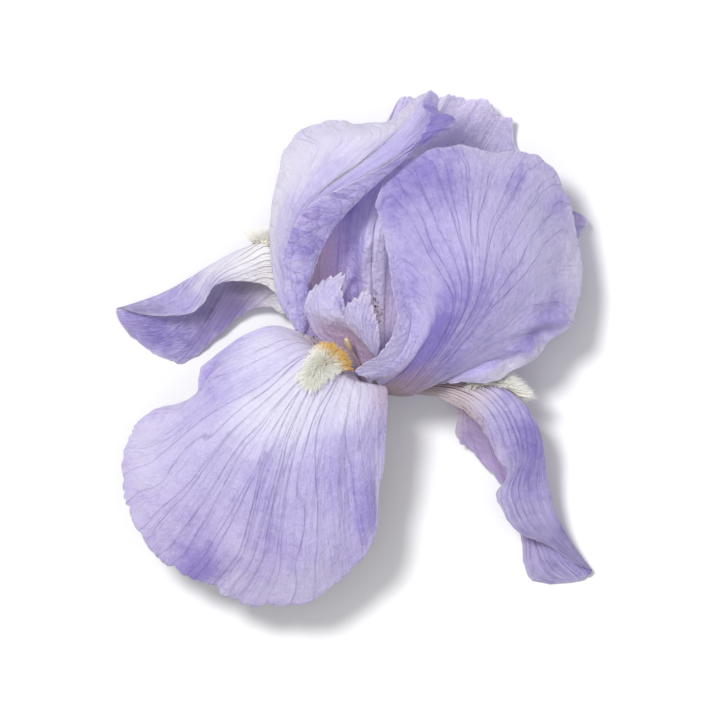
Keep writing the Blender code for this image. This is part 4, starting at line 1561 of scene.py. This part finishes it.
def standards() -> list[Petal]:
    """The three standing petals.

    Returns:
        The left, the right and the back standard, not built yet.
    """
    return [
        Petal(
            "standard_left_fine", "standard_left", Net(STANDARD_LEFT),
            PetalFinish("standard_left_skin", veins=22, vein_strength=0.6, haft_brown=0.2, haft_end=0.3,
                        net=0.32, net_from=0.68, pale=srgb(227, 222, 246)),
            Habit.FAN, Ruffle(0.4, 6.0, 0.0), 51, columns=240, lines=120, notch=1.5, notch_rate=26,
            scallops=0.55,
            tones=Tones(
                deep=(Swell(0.85, 0.9, 0.16, 0.25, 0.35), Swell(0.59, 0.93, 0.08, 0.11, 1.0),
                      Swell(0.35, 0.6, 0.12, 0.1, 0.4)),
                flush=(Swell(1.0, 0.45, 0.1, 0.12, 0.7),),
                flecks=(Swell(1.0, 0.36, 0.06, 0.16, 1.3),),
                bleach=(Swell(0.25, 0.75, 0.25, 0.4, 0.85), Swell(0.1, 0.9, 0.1, 0.2, 0.4),
                        Swell(0.92, 0.92, 0.06, 0.1, 0.4)),
            ),
        ),
        Petal(
            "standard_right_fine", "standard_right", Net(STANDARD_RIGHT),
            PetalFinish("standard_right_skin", veins=20, vein_strength=0.52, haft_brown=0.7, haft_end=0.3,
                        net=0.12, rib=0.14, rib_at=0.55, slant=0.08, vein=srgb(120, 102, 174),
                        haft=srgb(152, 126, 148), tan=srgb(150, 128, 92)),
            Habit.FAN, Ruffle(0.5, 6.0, 0.3), 61, columns=270, lines=120, notch=1.7, notch_rate=26,
            scallops=0.9,
            tones=Tones(
                # Deeper rises: the broad ones at 0.3 and 0.34 along are painted shade on the lower standard,
                # and the one at 0.85 across is partly painted shade among the folds.
                deep=(Swell(0.36, 0.85, 0.12, 0.3, 0.35), Swell(0.48, 0.88, 0.05, 0.2, 0.4),
                      Swell(0.62, 0.84, 0.02, 0.16, 0.4), Swell(0.69, 0.86, 0.02, 0.16, 0.4),
                      Swell(0.32, 0.34, 0.12, 0.1, 0.9), Swell(0.85, 0.78, 0.05, 0.16, 0.8),
                      Swell(0.5, 0.3, 0.5, 0.16, 0.6)),
                bleach=(Swell(0.78, 0.9, 0.12, 0.25, 0.5), Swell(0.93, 0.9, 0.05, 0.2, 0.6),
                        Swell(0.5, 0.7, 0.05, 0.3, 0.2), Swell(0.05, 0.9, 0.06, 0.15, 0.5)),
                tan=(Swell(0.6, 0.08, 0.6, 0.08, 0.9), Swell(1.0, 0.4, 0.03, 0.35, 0.8)),
                flush=(Swell(0.08, 0.45, 0.06, 0.12, 0.5),),
            ),
            folds=(Swell(0.835, 0.85, 0.01, 0.18, 2.4), Swell(0.86, 0.84, 0.009, 0.16, -2.0),
                   Swell(0.885, 0.84, 0.009, 0.17, 2.0), Swell(0.915, 0.82, 0.01, 0.18, -1.7),
                   Swell(0.18, 0.8, 0.05, 0.03, -0.7)),
        ),
        Petal(
            "standard_back_fine", "standard_back", Net(STANDARD_BACK),
            PetalFinish("standard_back_skin", veins=19, vein_strength=0.5, haft_brown=0.2, haft_end=0.4,
                        net=0.12, ground=srgb(208, 200, 255), pale=srgb(227, 220, 255),
                        # A near-white pink flush: the inner face's mauve-pink, lightened as painted light for
                        # the light that would come through the petals.
                        flush=srgb(255, 232, 232)),
            Habit.FAN, Ruffle(0.6, 5.0, 0.6), 71, columns=240, lines=130, notch=0.5, notch_rate=22,
            scallops=0.4,
            tones=Tones(
                # The negative deep rise at 0.5 across, 0.7 along, and the bleach rise at 0.9 along are
                # painted light on the top lobes, which the left standard shades.
                deep=(Swell(0.25, 0.7, 0.03, 0.12, 0.7), Swell(0.31, 0.46, 0.03, 0.14, 0.8),
                      Swell(0.5, 0.7, 0.3, 0.5, -0.4)),
                bleach=(Swell(0.5, 0.9, 0.3, 0.3, 0.7), Swell(0.38, 0.5, 0.04, 0.4, 1.2),
                        Swell(0.1, 0.5, 0.08, 0.4, 0.3)),
                flush=(Swell(0.08, 0.5, 0.14, 0.3, 1.0), Swell(0.4, 0.35, 0.08, 0.15, 0.6)),
                tan=(Swell(0.03, 0.5, 0.02, 0.06, 0.9), Swell(0.38, 0.34, 0.03, 0.06, 0.5)),
                flecks=(Swell(0.38, 0.34, 0.03, 0.06, 1.0),),
            ),
            folds=(Swell(0.34, 0.6, 0.01, 0.4, 0.7), Swell(0.37, 0.6, 0.01, 0.4, -0.6),
                   Swell(0.41, 0.6, 0.012, 0.4, 0.7), Swell(0.36, 0.42, 0.008, 0.03, 0.8),
                   Swell(0.375, 0.49, 0.008, 0.03, -0.8), Swell(0.355, 0.55, 0.008, 0.03, 0.8),
                   Swell(0.37, 0.62, 0.008, 0.03, -0.8)),
        ),
    ]


def style_arms() -> list[Petal]:
    """The three hooded style arms with their toothed crests.

    Returns:
        One arm for each side, not built yet.
    """
    arms = []
    for side in ARM_TURNS:
        arms.append(Petal(
            f"style_arm_{side}_fine", f"style_arm_{side}", Net([turned(row, side) for row in STYLE_ARM]),
            PetalFinish(f"style_arm_{side}_skin", veins=12, vein_strength=0.3, haft_brown=0.0,
                        haft_end=0.3, net=0.0, ground=srgb(220, 213, 249), flush=srgb(222, 186, 212)),
            Habit.FAN, Ruffle(0.0, 1.0, 0.0), 81, columns=200, lines=80, thickness=0.5, notch=0.3,
            notch_rate=24,
            teeth=2.6, pleats=0.12, wrinkles=0.05, slot="style_lavender",
            tones=Tones(
                deep=(Swell(0.4, 0.85, 0.06, 0.1, 0.5), Swell(0.8, 0.85, 0.08, 0.1, 0.3)),
                bleach=(Swell(0.5, 0.62, 0.5, 0.04, 0.7), Swell(0.3, 1.0, 0.15, 0.1, 0.5)),
                flush=(Swell(0.5, 0.3, 0.6, 0.25, 0.8),),
            ),
        ))
    return arms


def beards() -> list[Beard]:
    """The three beards.

    Returns:
        One beard for each fall, not built yet.
    """
    return [
        Beard("front", Net(FALL_FRONT), 0.29, 0.48, 11, BeardFinish("beard_front_fur", 0.2, 0.5), hairs=2200,
              half_widths=(3.3, 1.4), lengths=(2.2, 4.2)),
        Beard("left", Net(FALL_LEFT), 0.27, 0.41, 12, BeardFinish("beard_left_fur", -0.3, -0.1),
              facing=1.0, hairs=800, half_widths=(2.0, 1.0), lengths=(2.6, 4.2), lean=(-0.2, 0.3)),
        Beard("right", Net(FALL_RIGHT), 0.30, 0.47, 13, BeardFinish("beard_right_fur", -0.3, -0.1),
              hairs=1600, half_widths=(2.4, 1.4), aside=0.6, combed=0.1, lengths=(3.2, 5.2)),
    ]


def write_size() -> None:
    """Brings the scene up to date once every piece is built."""
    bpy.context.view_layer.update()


def main() -> None:
    """Builds every piece in order and reports each."""
    logging.basicConfig(level=logging.INFO, format="%(name)s: %(message)s")
    Studio().build()
    pieces: list[Petal | Beard | Stamen | FloralTube] = [FloralTube(), *standards(), *falls(), *style_arms()]
    pieces += [Stamen(side) for side in ARM_TURNS]
    pieces += beards()
    for piece in pieces:
        made = piece.build()
        log.info("%s: %d faces", made.name, len(made.data.polygons))
    write_size()


if __name__ == "__main__":
    main()
